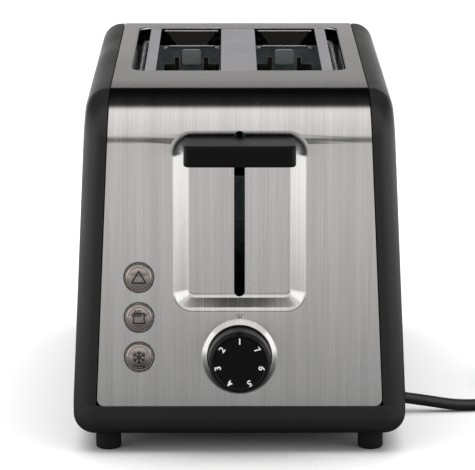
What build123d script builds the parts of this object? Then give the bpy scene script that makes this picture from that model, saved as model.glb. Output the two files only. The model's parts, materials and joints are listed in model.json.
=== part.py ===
from build123d import *

import os
from math import cos, pi, radians, sin, tan

# Two-slice pop-up toaster with lengthways slots, in millimetres.
# +X is the user's right at the lever end, +Y runs to the rear, +Z is up.
# The origin is on the table, at the middle of the toaster's own footprint box.

os.makedirs("parts", exist_ok=True)

# ---------------------------------------------------------------- driving dimensions

# housing
BODY_DEPTH = 280.0  # front panel to rear panel at the seam
TOP_Z = 178.0
SEAM_Z = 25.0  # where the housing stands on the base
RAKE = 3.0  # degrees that the front and rear lean in
BEND_R = 25.0  # front and rear bends of the wrap
STEEL_T = 1.0
WRAP_HALF_SEAM = 70.0
WRAP_HALF_TOP = 63.0
PANEL_HALF_SEAM = 82.0
PANEL_HALF_TOP = 74.9
PANEL_T = 2.5
PANEL_EDGE_R = 10.0
PANEL_INSET = 0.2  # the plastic sides stand a hair below the steel
SIDE_GAP = 0.5

# base and feet
BASE_BOTTOM_Z = 9.0
BASE_PROUD = 0.5
BASE_CORNER_R = 11.0
BASE_ROUND_R = 10.0
BASE_T = 2.5
FLOOR_Z = BASE_BOTTOM_Z + BASE_T
FOOT_R = 6.25
FOOT_X = 65.0
FOOT_INSET = 15.0

# top opening and toasting chamber
OPENING_FRONT = 84.0
OPENING_REAR = 234.0
OPENING_HALF = 54.5
OPENING_R = 8.0
SLOT_X = 25.9  # middle of a bread slot
CHAMBER_FRONT = 81.0
CHAMBER_REAR = 238.0
PLATE_T = 1.0
PLATE_HALF = 68.0
PLATE_TOP_Z = 167.0

# lever
RECESS_DEPTH = 5.5
RECESS_HALF = 32.0
RECESS_FLOOR_HALF = 26.3
RECESS_LOW_Z = 72.4
RECESS_FLOOR_LOW_Z = 78.5
RECESS_HIGH_Z = 158.5
LEVER_SLOT_W = 5.0
LEVER_SLOT_LOW_Z = 79.65
LEVER_SLOT_HIGH_Z = 160.8
HANDLE_HALF = 26.9
HANDLE_LOW_Z = 147.7
HANDLE_HIGH_Z = 158.0
HANDLE_REACH = 26.0
LEVER_TRAVEL = 64.0
ARM_T = 2.5
ARM_LOW_Z = 149.0
ARM_HIGH_Z = 157.0

# controls
BUTTON_X = -49.1
BUTTON_ZS = (89.0, 69.2, 49.6)
BUTTON_NAMES = ("button_cancel", "button_reheat", "button_defrost")
BUTTON_R = 6.6
BUTTON_HOLE_R = 7.0
KNOB_Z = 49.8
KNOB_R = 15.1
KNOB_FACE_R = 13.5
KNOB_REACH = 18.0
COLLAR_R = 18.3
COLLAR_BORE_R = 15.5
COLLAR_RISE = 1.5
COLLAR_SUNK = 1.5
SHAFT_R = 3.0
RUNNING_GAP = 0.05

# carriage and guards
CARRIAGE_DEPTH = 60.0
ROD_X = 11.0
ROD_DEPTH = 54.0
ROD_R = 2.5
RACK_Z = 112.0
GUARD_OFFSET = 15.4
GUARD_PIVOT_Z = 44.0
GUARD_TOP_Z = 152.0
GUARD_ROD_R = 1.0

# crumb tray
TRAY_FRONT = 92.0
TRAY_HALF = 57.0
TRAY_LOW_Z = 12.9
TRAY_HIGH_Z = 19.1
TRAY_T = 0.8
GRIP_REACH = 12.0

# mains cord
CORD_R = 3.0
CORD_DEPTH = 79.0
COIL_X = 174.0
COIL_DEPTH = 129.0
COIL_OUT_R = 39.0  # centreline of the outermost turn
COIL_TURNS = 3.25
RELIEF_TILT = 8.0

# ---------------------------------------------------------------- shared geometry

SLOPE = tan(radians(RAKE))
HANDLE_MID_Z = (HANDLE_LOW_Z + HANDLE_HIGH_Z) / 2
HANDLE_OVERHANG = HANDLE_REACH - (HANDLE_MID_Z - SEAM_Z) * SLOPE
FRONT_Y = HANDLE_OVERHANG - (HANDLE_OVERHANG + BODY_DEPTH + GRIP_REACH) / 2
REAR_Y = FRONT_Y + BODY_DEPTH
MID_Y = (FRONT_Y + REAR_Y) / 2
OPENING_Y = FRONT_Y + (OPENING_FRONT + OPENING_REAR) / 2

# The front panel's own plane: x across, y up the raked sheet, z out of the toaster.
PANEL = Plane(
    origin=(0, FRONT_Y, SEAM_Z),
    x_dir=(1, 0, 0),
    z_dir=(0, -cos(radians(RAKE)), sin(radians(RAKE))),
)


def at(depth):
    """World y of a depth behind the foot of the front panel."""
    return FRONT_Y + depth


def up_panel(z):
    """Distance up the raked panel of a world height."""
    return (z - SEAM_Z) / cos(radians(RAKE))


def section_plane(x, z):
    """Plane through a control's axis: x is its radius, y points out of the panel."""
    return Plane(
        origin=PANEL.from_local_coords((x, up_panel(z), 0)),
        x_dir=(1, 0, 0),
        z_dir=(0, -sin(radians(RAKE)), -cos(radians(RAKE))),
    )


def control_axis(x, z):
    """Axis of a button or knob, square to the panel and pointing out."""
    return Axis(PANEL.from_local_coords((x, up_panel(z), 0)), PANEL.z_dir)


def arch_corners(inset, low_z):
    """Side view of the housing before its bends, moved in by inset."""
    shift = inset / cos(radians(RAKE))
    low = (low_z - SEAM_Z) * SLOPE + shift
    high = (TOP_Z - inset - SEAM_Z) * SLOPE + shift
    return [
        (FRONT_Y + low, low_z),
        (REAR_Y - low, low_z),
        (REAR_Y - high, TOP_Z - inset),
        (FRONT_Y + high, TOP_Z - inset),
    ]


def half_width(z, half_seam, half_top):
    """Half width at a height of a side that leans in evenly."""
    return half_seam + (z - SEAM_Z) * (half_top - half_seam) / (TOP_Z - SEAM_Z)


def taper_corners(half_seam, half_top, low_z, high_z):
    """Front view of the housing between two heights."""
    low = half_width(low_z, half_seam, half_top)
    high = half_width(high_z, half_seam, half_top)
    return [(-low, low_z), (low, low_z), (high, high_z), (-high, high_z)]


def arch_blank(inset, low_z, half_seam, half_top, edge_r=0.0):
    """Solid housing form: the side view's arch, narrowed by the leaning sides."""
    with BuildPart(mode=Mode.PRIVATE) as blank:
        with BuildSketch(Plane.YZ) as side:
            with BuildLine():
                Polyline(*arch_corners(inset, low_z), close=True)
            make_face()
            fillet(side.vertices().group_by(Axis.Y)[-1], BEND_R - inset)
        extrude(amount=PANEL_HALF_SEAM * 1.5, both=True)
        with BuildSketch(Plane.XZ):
            with BuildLine():
                Polyline(*taper_corners(half_seam, half_top, low_z - 1, TOP_Z + 1), close=True)
            make_face()
        extrude(amount=BODY_DEPTH, both=True, mode=Mode.INTERSECT)
        if edge_r > 0:
            sides = blank.faces().filter_by(lambda f: abs(f.normal_at().X) > 0.9)
            rims = sides.edges().filter_by(lambda e: e.center().Z > low_z + 1)
            fillet(rims, edge_r)
    return blank.part


def save(piece, name):
    """Labels a finished piece and writes it as its own file."""
    piece.part.label = name
    export_step(piece.part, f"parts/{name}.step")


# ---------------------------------------------------------------- steel wrap

wrap_outer = arch_blank(0, SEAM_Z, WRAP_HALF_SEAM, WRAP_HALF_TOP)
wrap_core = arch_blank(STEEL_T, SEAM_Z - 5, WRAP_HALF_SEAM + 10, WRAP_HALF_TOP + 10)
RECESS_MID_V = up_panel((RECESS_LOW_Z + RECESS_HIGH_Z) / 2)
RECESS_TALL = up_panel(RECESS_HIGH_Z) - up_panel(RECESS_LOW_Z)
RECESS_SLOPE = RECESS_FLOOR_LOW_Z - RECESS_LOW_Z
RECESS_R = 9.0
HANDLE_FIT = 0.5

with BuildPart() as steel_wrap:
    add(wrap_outer)
    add(wrap_core, mode=Mode.SUBTRACT)

    # the opening, with its edge rolled over
    with BuildSketch(Plane.XY.offset(TOP_Z + 1)):
        with Locations((0, OPENING_Y)):
            RectangleRounded(2 * OPENING_HALF, OPENING_REAR - OPENING_FRONT, OPENING_R)
    extrude(amount=-STEEL_T * 3, mode=Mode.SUBTRACT)
    rim = (
        steel_wrap.edges()
        .filter_by(lambda e: abs(e.center().Z - TOP_Z) < 0.01)
        .filter_by(lambda e: abs(e.center().X) < OPENING_HALF + 0.1)
        .filter_by(lambda e: abs(e.center().Y - OPENING_Y) < (OPENING_REAR - OPENING_FRONT) / 2 + 0.1)
    )
    fillet(rim, STEEL_T * 0.7)

    # the lever's pan: pressed in, with sloping walls
    with BuildSketch(PANEL.offset(-0.1)):
        with Locations((0, RECESS_MID_V)):
            RectangleRounded(2 * RECESS_HALF + 1.6, RECESS_TALL + 1.6, RECESS_R + 0.8)
    with BuildSketch(PANEL.offset(-RECESS_DEPTH - STEEL_T)):
        with Locations((0, RECESS_MID_V)):
            RectangleRounded(
                2 * RECESS_FLOOR_HALF + 1.6, RECESS_TALL - 2 * RECESS_SLOPE + 1.6, RECESS_R - 3
            )
    loft()
    with BuildSketch(PANEL):
        with Locations((0, RECESS_MID_V)):
            RectangleRounded(2 * RECESS_HALF, RECESS_TALL, RECESS_R)
    with BuildSketch(PANEL.offset(-RECESS_DEPTH)):
        with Locations((0, RECESS_MID_V)):
            RectangleRounded(2 * RECESS_FLOOR_HALF, RECESS_TALL - 2 * RECESS_SLOPE, RECESS_R - 4)
    loft(mode=Mode.SUBTRACT)
    pan_edges = steel_wrap.edges().filter_by(
        lambda e: abs(PANEL.to_local_coords(e.center()).Z) < 0.01
        and abs(PANEL.to_local_coords(e.center()).X) < RECESS_HALF + 0.1
        and up_panel(RECESS_LOW_Z) - 0.1
        < PANEL.to_local_coords(e.center()).Y
        < up_panel(RECESS_HIGH_Z) + 0.1
    )
    fillet(pan_edges, 2.2)
    floor_edges = steel_wrap.edges().filter_by(
        lambda e: abs(PANEL.to_local_coords(e.center()).Z + RECESS_DEPTH) < 0.01
    )
    fillet(floor_edges, 2.2)

    # lever slot, button holes and the knob's hole
    with BuildSketch(PANEL.offset(2)):
        with Locations((0, up_panel((LEVER_SLOT_LOW_Z + LEVER_SLOT_HIGH_Z) / 2))):
            SlotOverall(
                up_panel(LEVER_SLOT_HIGH_Z) - up_panel(LEVER_SLOT_LOW_Z), LEVER_SLOT_W, rotation=90
            )
        with Locations(*[(BUTTON_X, up_panel(z)) for z in BUTTON_ZS]):
            Circle(BUTTON_HOLE_R)
        with Locations((0, up_panel(KNOB_Z))):
            Circle(COLLAR_BORE_R + STEEL_T - 0.1)
    extrude(amount=-RECESS_DEPTH - 5, mode=Mode.SUBTRACT)

    # raised collar round the knob, with its sunk floor
    with BuildSketch(section_plane(0, KNOB_Z)):
        with BuildLine():
            Polyline(
                (COLLAR_R, 0),
                (COLLAR_BORE_R + 0.6, COLLAR_RISE - 0.2),
                (COLLAR_BORE_R + 0.2, COLLAR_RISE),
                (COLLAR_BORE_R, COLLAR_RISE - 0.2),
                (COLLAR_BORE_R, -COLLAR_SUNK),
                (SHAFT_R + 1.2, -COLLAR_SUNK),
                (SHAFT_R + 1.2, -COLLAR_SUNK - STEEL_T),
                (COLLAR_BORE_R + STEEL_T, -COLLAR_SUNK - STEEL_T),
                (COLLAR_BORE_R + STEEL_T, -STEEL_T),
                (COLLAR_R, -STEEL_T),
                close=True,
            )
        make_face()
    revolve(axis=control_axis(0, KNOB_Z))
save(steel_wrap, "steel_wrap")

# ---------------------------------------------------------------- plastic sides

panel_outer = arch_blank(PANEL_INSET, SEAM_Z, PANEL_HALF_SEAM, PANEL_HALF_TOP, PANEL_EDGE_R)
panel_inner = arch_blank(
    PANEL_INSET + PANEL_T,
    SEAM_Z - 5,
    PANEL_HALF_SEAM - PANEL_T,
    PANEL_HALF_TOP - PANEL_T,
    PANEL_EDGE_R - PANEL_T,
)

with BuildPart() as side_panel_right:
    add(panel_outer)
    add(panel_inner, mode=Mode.SUBTRACT)
    with BuildSketch(Plane.XZ):
        with BuildLine():
            low_x = half_width(SEAM_Z - 5, WRAP_HALF_SEAM, WRAP_HALF_TOP) + SIDE_GAP
            high_x = half_width(TOP_Z + 5, WRAP_HALF_SEAM, WRAP_HALF_TOP) + SIDE_GAP
            Polyline(
                (-PANEL_HALF_SEAM * 2, SEAM_Z - 5),
                (low_x, SEAM_Z - 5),
                (high_x, TOP_Z + 5),
                (-PANEL_HALF_SEAM * 2, TOP_Z + 5),
                close=True,
            )
        make_face()
    extrude(amount=BODY_DEPTH, both=True, mode=Mode.SUBTRACT)
save(side_panel_right, "side_panel_right")

with BuildPart() as side_panel_left:
    mirror(side_panel_right.part, about=Plane.YZ)
save(side_panel_left, "side_panel_left")

# ---------------------------------------------------------------- base

BASE_DEPTH = BODY_DEPTH + 2 * BASE_PROUD
FOOT_SPOTS = [
    (x, y) for x in (-FOOT_X, FOOT_X) for y in (FRONT_Y + FOOT_INSET, REAR_Y - FOOT_INSET)
]
FOOT_NAMES = ("foot_front_left", "foot_rear_left", "foot_front_right", "foot_rear_right")
PLATE_POST_X = 64.0
PLATE_POSTS = [
    (x, at(d))
    for x in (-PLATE_POST_X, PLATE_POST_X)
    for d in (CHAMBER_FRONT - PLATE_T / 2, CHAMBER_REAR + PLATE_T / 2)
]
POST_R = 3.5
SCREW_R = 1.5
RECESS_ROOF_Z = 20.0  # the cord leaves through a pocket under the right side
POCKET_IN_X = 46.0
POCKET_HALF = 9.0
POCKET_T = 2.5

with BuildPart() as base_tub:
    with BuildSketch(Plane.XY.offset(BASE_BOTTOM_Z)):
        with Locations((0, MID_Y)):
            RectangleRounded(2 * PANEL_HALF_SEAM, BASE_DEPTH, BASE_CORNER_R)
    extrude(amount=SEAM_Z - BASE_BOTTOM_Z)
    fillet(base_tub.faces().sort_by(Axis.Z)[0].edges(), BASE_ROUND_R)
    offset(amount=-BASE_T, openings=base_tub.faces().sort_by(Axis.Z)[-1])

    # posts for the chamber's end plates, screw bosses over the feet, and the cord pocket
    with BuildSketch(Plane.XY.offset(FLOOR_Z - 1)):
        with Locations(*PLATE_POSTS):
            Circle(POST_R)
        with Locations(*FOOT_SPOTS):
            Circle(POST_R)
    extrude(amount=SEAM_Z - FLOOR_Z + 1)
    pocket_long = PANEL_HALF_SEAM - BASE_T / 2 - (POCKET_IN_X - POCKET_T)
    with BuildSketch(Plane.XY.offset(BASE_BOTTOM_Z)):
        with Locations((POCKET_IN_X - POCKET_T + pocket_long / 2, at(CORD_DEPTH))):
            Rectangle(pocket_long, 2 * (POCKET_HALF + POCKET_T))
    extrude(amount=RECESS_ROOF_Z + POCKET_T - BASE_BOTTOM_Z)
    with BuildSketch(Plane.XY):
        with Locations(((POCKET_IN_X + PANEL_HALF_SEAM + 10) / 2, at(CORD_DEPTH))):
            Rectangle(PANEL_HALF_SEAM + 10 - POCKET_IN_X, 2 * POCKET_HALF)
    extrude(amount=RECESS_ROOF_Z, mode=Mode.SUBTRACT)

    # the crumb tray's mouth in the rear wall, and the screw holes
    with BuildSketch(Plane.XZ.offset(-(REAR_Y + BASE_PROUD + 1))):
        with Locations((0, (TRAY_LOW_Z + TRAY_HIGH_Z) / 2)):
            Rectangle(2 * TRAY_HALF + 1.2, TRAY_HIGH_Z - TRAY_LOW_Z + 1.2)
    extrude(amount=BASE_ROUND_R + 3, mode=Mode.SUBTRACT)
    with BuildSketch(Plane.XY):
        with Locations(*FOOT_SPOTS):
            Circle(SCREW_R)
    extrude(amount=SEAM_Z - 2, mode=Mode.SUBTRACT)

    # a hole through the pocket's inner wall for the cord gland
    relief_slope = tan(radians(RELIEF_TILT))
    gland_z = 8.2 + (80.0 - POCKET_IN_X) * relief_slope
    with BuildSketch(Plane.YZ.offset(POCKET_IN_X + 1)):
        with Locations((at(CORD_DEPTH), gland_z)):
            Circle(3.8)
    extrude(amount=-POCKET_T - 2, mode=Mode.SUBTRACT)
save(base_tub, "base_tub")

for name, spot in zip(FOOT_NAMES, FOOT_SPOTS):
    with BuildPart() as foot:
        with BuildSketch():
            with Locations(spot):
                Circle(FOOT_R)
        extrude(amount=BASE_BOTTOM_Z)
        fillet(foot.faces().sort_by(Axis.Z)[0].edges(), 1.5)
        with Locations(Location((spot[0], spot[1], 0), (180, 0, 0))):
            CounterBoreHole(SCREW_R, 2.8, 3.5, depth=BASE_BOTTOM_Z)
    save(foot, name)

with BuildPart() as base_screws:
    with BuildSketch(Plane.XY.offset(1.5)):
        with Locations(*FOOT_SPOTS):
            Circle(2.6)
    extrude(amount=2)
    with BuildSketch(Plane.XY.offset(3.5)):
        with Locations(*FOOT_SPOTS):
            Circle(SCREW_R)
    extrude(amount=18)
    with BuildSketch(Plane.XY.offset(1.5)):
        with Locations(*FOOT_SPOTS):
            Rectangle(3.4, 0.7)
            Rectangle(0.7, 3.4)
    extrude(amount=1, mode=Mode.SUBTRACT)
save(base_screws, "base_screws")

# ---------------------------------------------------------------- chamber end plates

GUARD_XS = {
    "guard_left_outer": -SLOT_X - GUARD_OFFSET,
    "guard_left_inner": -SLOT_X + GUARD_OFFSET,
    "guard_right_inner": SLOT_X - GUARD_OFFSET,
    "guard_right_outer": SLOT_X + GUARD_OFFSET,
}
RACK_SLOT_LOW_Z = 38.0
RACK_SLOT_HIGH_Z = 122.0
RACK_SLOT_W = 6.0
NARROW_NOTCH_X = 8.1  # from the middle of a bread slot
NARROW_NOTCH_Z = 148.0
WIDE_NOTCH_X = 11.1
WIDE_NOTCH_Z = 148.1


def end_plate(depth):
    """Chamber end sheet with rack slots, guard pivot holes and the stepped guard notches."""
    with BuildPart(mode=Mode.PRIVATE) as plate:
        with BuildSketch(Plane.XZ.offset(-at(depth))):
            with BuildLine():
                Polyline(
                    (-PLATE_HALF, SEAM_Z),
                    (PLATE_HALF, SEAM_Z),
                    (PLATE_HALF, PLATE_TOP_Z - 20),
                    (PLATE_HALF - 10, PLATE_TOP_Z),
                    (-PLATE_HALF + 10, PLATE_TOP_Z),
                    (-PLATE_HALF, PLATE_TOP_Z - 20),
                    close=True,
                )
            make_face()
            rack_slot_z = (RACK_SLOT_LOW_Z + RACK_SLOT_HIGH_Z) / 2
            with Locations((-SLOT_X, rack_slot_z), (SLOT_X, rack_slot_z)):
                Rectangle(RACK_SLOT_W, RACK_SLOT_HIGH_Z - RACK_SLOT_LOW_Z, mode=Mode.SUBTRACT)
            with Locations(*[(x, GUARD_PIVOT_Z) for x in GUARD_XS.values()]):
                Circle(GUARD_ROD_R + RUNNING_GAP, mode=Mode.SUBTRACT)
            for slot_side in (-1, 1):
                for guard_side in (-1, 1):
                    middle = slot_side * SLOT_X
                    with Locations((middle + guard_side * NARROW_NOTCH_X, NARROW_NOTCH_Z)):
                        Rectangle(2.6, 25, mode=Mode.SUBTRACT)
                    with Locations((middle + guard_side * WIDE_NOTCH_X, WIDE_NOTCH_Z)):
                        Rectangle(8.6, 17, mode=Mode.SUBTRACT)
        extrude(amount=-PLATE_T)
    return plate.part


with BuildPart() as front_plate:
    add(end_plate(CHAMBER_FRONT - PLATE_T))
save(front_plate, "front_plate")

with BuildPart() as rear_plate:
    add(end_plate(CHAMBER_REAR))
    # a rounded pad pressed forward in the middle of each slot
    with BuildSketch(Plane.XZ.offset(-at(CHAMBER_REAR) + 0.8)):
        with Locations(*[(s * SLOT_X, 160.5) for s in (-1, 1)]):
            RectangleRounded(10.2, 8.2, 1.5)
    extrude(amount=-1.0)
save(rear_plate, "rear_plate")

# ---------------------------------------------------------------- bread guides at the slot ends

CHUTE_TOP_HALF = 14.8
CHUTE_LOW_HALF = 7.6
CHUTE_DROP = 10.0


def chute(depth_top, depth_low, name):
    """One leaning flap at the end of each slot, wide at the top, in thin sheet."""
    with BuildPart() as guide:
        run = depth_low - depth_top
        for slot_side in (-1, 1):
            plane = Plane(
                origin=(slot_side * SLOT_X, at(depth_top), TOP_Z - 1.2),
                x_dir=(1, 0, 0),
                z_dir=(0, -CHUTE_DROP, -run),
            )
            length = (CHUTE_DROP**2 + run**2) ** 0.5
            with BuildSketch(plane):
                with BuildLine():
                    Polyline(
                        (-CHUTE_TOP_HALF, 0),
                        (CHUTE_TOP_HALF, 0),
                        (CHUTE_LOW_HALF, -length),
                        (-CHUTE_LOW_HALF, -length),
                        close=True,
                    )
                make_face()
            extrude(amount=0.5)
    save(guide, name)


chute(OPENING_REAR + 1.6, CHAMBER_REAR - 0.4, "bread_guide_rear")
chute(OPENING_FRONT - 1.1, CHAMBER_FRONT + 0.5, "bread_guide_front")

# ---------------------------------------------------------------- chamber lining and heaters

CHAMBER_MID = at((CHAMBER_FRONT + CHAMBER_REAR) / 2)
CHAMBER_LONG = CHAMBER_REAR - CHAMBER_FRONT
BRIDGE_HALF = 9.25
BRIDGE_TOP_Z = TOP_Z - STEEL_T - 0.1
SHEET_T = 0.8
CARD_T = 0.6
CARD_LOW_Z = 48.0
CARD_HIGH_Z = 150.0
OUTER_CARD_X = 46.6
INNER_CARD_X = 5.6
RAIL_IN_X = 42.5
RAIL_W = 4.7
RAIL_LOW_Z = 144.0
REFLECTOR_X = 56.4
REFLECTOR_LOW_Z = 30.0
REFLECTOR_HIGH_Z = 165.0
LUG_X = 58.0
TIE_ROD_X = 50.9
TIE_ROD_IN_X = 48.0
TIE_ROD_Z = 172.0
TIE_ROD_END = 216.0
TIE_ROD_R = 1.3

with BuildPart() as centre_bridge:
    with BuildSketch(Plane.XZ.offset(-at(CHAMBER_FRONT))):
        with Locations((0, BRIDGE_TOP_Z - 8)):
            Rectangle(2 * BRIDGE_HALF, 16)
        with Locations((0, BRIDGE_TOP_Z - SHEET_T - 8)):
            Rectangle(2 * (BRIDGE_HALF - SHEET_T), 16, mode=Mode.SUBTRACT)
    extrude(amount=-CHAMBER_LONG)
    fillet(
        centre_bridge.edges().filter_by(Axis.Y).group_by(Axis.Z)[-1],
        SHEET_T * 0.8,
    )
    with BuildSketch(Plane.XY.offset(BRIDGE_TOP_Z + 1)):
        with Locations((0, at(177))):
            SlotOverall(8, 0.8)
    extrude(amount=-3, mode=Mode.SUBTRACT)
save(centre_bridge, "centre_bridge")

for side_name, side in (("left", -1), ("right", 1)):
    with BuildPart() as reflector:
        with Locations((side * REFLECTOR_X, CHAMBER_MID, (REFLECTOR_LOW_Z + REFLECTOR_HIGH_Z) / 2)):
            Box(SHEET_T, CHAMBER_LONG, REFLECTOR_HIGH_Z - REFLECTOR_LOW_Z)
        with Locations((side * LUG_X, CHAMBER_MID, REFLECTOR_LOW_Z + SHEET_T / 2)):
            Box(2.4, CHAMBER_LONG, SHEET_T)
    save(reflector, f"reflector_{side_name}")

    with BuildPart() as rail:
        with Locations((side * (RAIL_IN_X + RAIL_W / 2), CHAMBER_MID, BRIDGE_TOP_Z - SHEET_T / 2)):
            Box(RAIL_W, CHAMBER_LONG, SHEET_T)
        web_x = OUTER_CARD_X + CARD_T + SHEET_T / 2
        with Locations((side * web_x, CHAMBER_MID, (BRIDGE_TOP_Z + RAIL_LOW_Z) / 2)):
            Box(SHEET_T, CHAMBER_LONG, BRIDGE_TOP_Z - RAIL_LOW_Z)
    save(rail, f"heater_rail_{side_name}")

    for place, card_x, out in (("outer", OUTER_CARD_X, 1), ("inner", INNER_CARD_X, -1)):
        middle_x = side * (card_x + out * CARD_T / 2)
        with BuildPart() as card:
            with Locations((middle_x, CHAMBER_MID, (CARD_LOW_Z + CARD_HIGH_Z) / 2)):
                Box(CARD_T, CHAMBER_LONG, CARD_HIGH_Z - CARD_LOW_Z)
        save(card, f"mica_card_{side_name}_{place}")

with BuildPart() as tie_rods:
    for side in (-1, 1):
        with BuildLine() as rod_path:
            FilletPolyline(
                (side * TIE_ROD_X, at(CHAMBER_FRONT), TIE_ROD_Z),
                (side * TIE_ROD_X, at(TIE_ROD_END), TIE_ROD_Z),
                (side * TIE_ROD_IN_X, at(TIE_ROD_END), TIE_ROD_Z),
                radius=2 * TIE_ROD_R,
            )
        with BuildSketch(Plane.XZ.offset(-at(CHAMBER_FRONT))):
            with Locations((side * TIE_ROD_X, TIE_ROD_Z)):
                Circle(TIE_ROD_R)
        sweep(path=rod_path.wires()[0])
save(tie_rods, "tie_rods")

RIBBON_TURNS = 9
RIBBON_PITCH = (CARD_HIGH_Z - CARD_LOW_Z - 14) / (RIBBON_TURNS - 1)

with BuildPart() as heater_wires:
    for side in (-1, 1):
        for face_x in (OUTER_CARD_X - 0.15, INNER_CARD_X + 0.15):
            for turn in range(RIBBON_TURNS):
                with Locations((side * face_x, CHAMBER_MID, CARD_LOW_Z + 7 + turn * RIBBON_PITCH)):
                    Box(0.3, CHAMBER_LONG - 16, 2.2)
save(heater_wires, "heater_wires")

# ---------------------------------------------------------------- mechanism frame

SHELF_Z = 25.0
SHELF_FRONT = 45.0
SHELF_BACK = CHAMBER_FRONT - PLATE_T
SPRING_X = -11.0
SPRING_R = 4.0
SPRING_TOP_Z = 168.0
SPRING_LOW_Z = 121.0
MAGNET_X = 24.0
MAGNET_GAP = 0.4

with BuildPart() as lower_shelf:
    with Locations((0, at((SHELF_FRONT + SHELF_BACK) / 2), SHELF_Z + 0.5)):
        Box(76, SHELF_BACK - SHELF_FRONT, 1)
    with Locations((ROD_X, at(ROD_DEPTH), SHELF_Z)):
        Hole(ROD_R, depth=10)
save(lower_shelf, "lower_shelf")

with BuildPart() as upper_shelf:
    with Locations((0, at((SHELF_FRONT + SHELF_BACK) / 2), SPRING_TOP_Z - 0.5 + 1)):
        Box(44, SHELF_BACK - SHELF_FRONT, 1)
    with Locations((0, at(SHELF_BACK - 0.5), SPRING_TOP_Z - 4.5)):
        Box(44, 1, 9)
    with Locations((ROD_X, at(ROD_DEPTH), SPRING_TOP_Z)):
        Hole(ROD_R, depth=10)
save(upper_shelf, "upper_shelf")

with BuildPart() as guide_rod:
    with Locations((ROD_X, at(ROD_DEPTH), (SHELF_Z + SPRING_TOP_Z + 1) / 2)):
        Cylinder(ROD_R, SPRING_TOP_Z + 1 - SHELF_Z)
save(guide_rod, "guide_rod")

with BuildPart() as lift_spring:
    with Locations((SPRING_X, at(ROD_DEPTH), (SPRING_LOW_Z + SPRING_TOP_Z) / 2)):
        Cylinder(SPRING_R, SPRING_TOP_Z - SPRING_LOW_Z)
        Cylinder(SPRING_R - 1, SPRING_TOP_Z - SPRING_LOW_Z, mode=Mode.SUBTRACT)
save(lift_spring, "lift_spring")

ARMATURE_LOW_Z = RACK_Z - 6
MAGNET_TOP_Z = ARMATURE_LOW_Z - LEVER_TRAVEL - MAGNET_GAP

with BuildPart() as magnet_core:
    with Locations((MAGNET_X, at(ROD_DEPTH), SHELF_Z + 2)):
        Box(18, 12, 2)
    with BuildSketch(Plane.XY.offset(SHELF_Z + 3)):
        with Locations((MAGNET_X, at(ROD_DEPTH))):
            Circle(3.5)
    extrude(amount=MAGNET_TOP_Z - SHELF_Z - 3)
save(magnet_core, "magnet_core")

with BuildPart() as magnet_coil:
    with BuildSketch(Plane.XY.offset(SHELF_Z + 3)):
        with Locations((MAGNET_X, at(ROD_DEPTH))):
            Circle(5.8)
            Circle(3.5, mode=Mode.SUBTRACT)
    extrude(amount=MAGNET_TOP_Z - SHELF_Z - 5)
save(magnet_coil, "magnet_coil")

# ---------------------------------------------------------------- carriage

HANDLE_FRONT_Y = FRONT_Y - HANDLE_OVERHANG
HANDLE_BACK_Y = FRONT_Y + (HANDLE_LOW_Z - SEAM_Z) * SLOPE - HANDLE_FIT

with BuildPart() as lever_handle:
    with BuildSketch(Plane.XY.offset(HANDLE_LOW_Z)) as grip_plan:
        with Locations((0, (HANDLE_FRONT_Y + HANDLE_BACK_Y) / 2)):
            Rectangle(2 * HANDLE_HALF, HANDLE_BACK_Y - HANDLE_FRONT_Y)
        fillet(grip_plan.vertices().group_by(Axis.Y)[0], 3.5)
    extrude(amount=HANDLE_HIGH_Z - HANDLE_LOW_Z)
    front_edges = lever_handle.edges().filter_by(
        lambda e: e.center().Y < HANDLE_BACK_Y - 1 and abs(e.center().Z - HANDLE_MID_Z) > 4
    )
    fillet(front_edges, 1.6)
    with Locations((0, at(-11) + 10, (ARM_LOW_Z + ARM_HIGH_Z) / 2)):
        Box(ARM_T, 20, ARM_HIGH_Z - ARM_LOW_Z, mode=Mode.SUBTRACT)
save(lever_handle, "lever_handle")

with BuildPart() as lever_arm:
    with Locations((0, at((CARRIAGE_DEPTH - 11) / 2), (ARM_LOW_Z + ARM_HIGH_Z) / 2)):
        Box(ARM_T, CARRIAGE_DEPTH + 11, ARM_HIGH_Z - ARM_LOW_Z)
save(lever_arm, "lever_arm")

with BuildPart() as carriage_plate:
    with BuildSketch(Plane.XZ.offset(-at(CARRIAGE_DEPTH))):
        with Locations((0, RACK_Z)):
            Rectangle(64, 12)
        with Locations((0, (RACK_Z + ARM_HIGH_Z) / 2 + 1)):
            Rectangle(34, ARM_HIGH_Z - RACK_Z + 2)
        with Locations((0, 135)):
            Rectangle(14, 14, mode=Mode.SUBTRACT)
    extrude(amount=-1.5)
    # tab that the lift spring hooks on
    with Locations((SPRING_X, at((ROD_DEPTH + CARRIAGE_DEPTH) / 2 - 1), SPRING_LOW_Z - 1)):
        Box(6, CARRIAGE_DEPTH - ROD_DEPTH + 2, 2)
save(carriage_plate, "carriage_plate")

with BuildPart() as carriage_bush:
    with BuildSketch(Plane.XY.offset(RACK_Z)):
        with Locations((ROD_X, at(ROD_DEPTH))):
            Circle(5)
        with Locations((ROD_X, at((ROD_DEPTH + CARRIAGE_DEPTH) / 2))):
            Rectangle(7, CARRIAGE_DEPTH - ROD_DEPTH)
        with Locations((ROD_X, at(ROD_DEPTH))):
            Circle(ROD_R + RUNNING_GAP, mode=Mode.SUBTRACT)
    extrude(amount=36)
save(carriage_bush, "carriage_bush")

with BuildPart() as armature_plate:
    with Locations((MAGNET_X, at(CARRIAGE_DEPTH - 6), ARMATURE_LOW_Z + 1)):
        Box(14, 12, 2)
save(armature_plate, "armature_plate")

RACK_FINGERS = 8
RACK_END_GAP = 14.0
FINGER_PITCH = (CHAMBER_LONG - 2 * RACK_END_GAP) / (RACK_FINGERS - 1)
RACK_LONG = CHAMBER_LONG + 26
RACK_START = at(CARRIAGE_DEPTH + 1.5)

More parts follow.
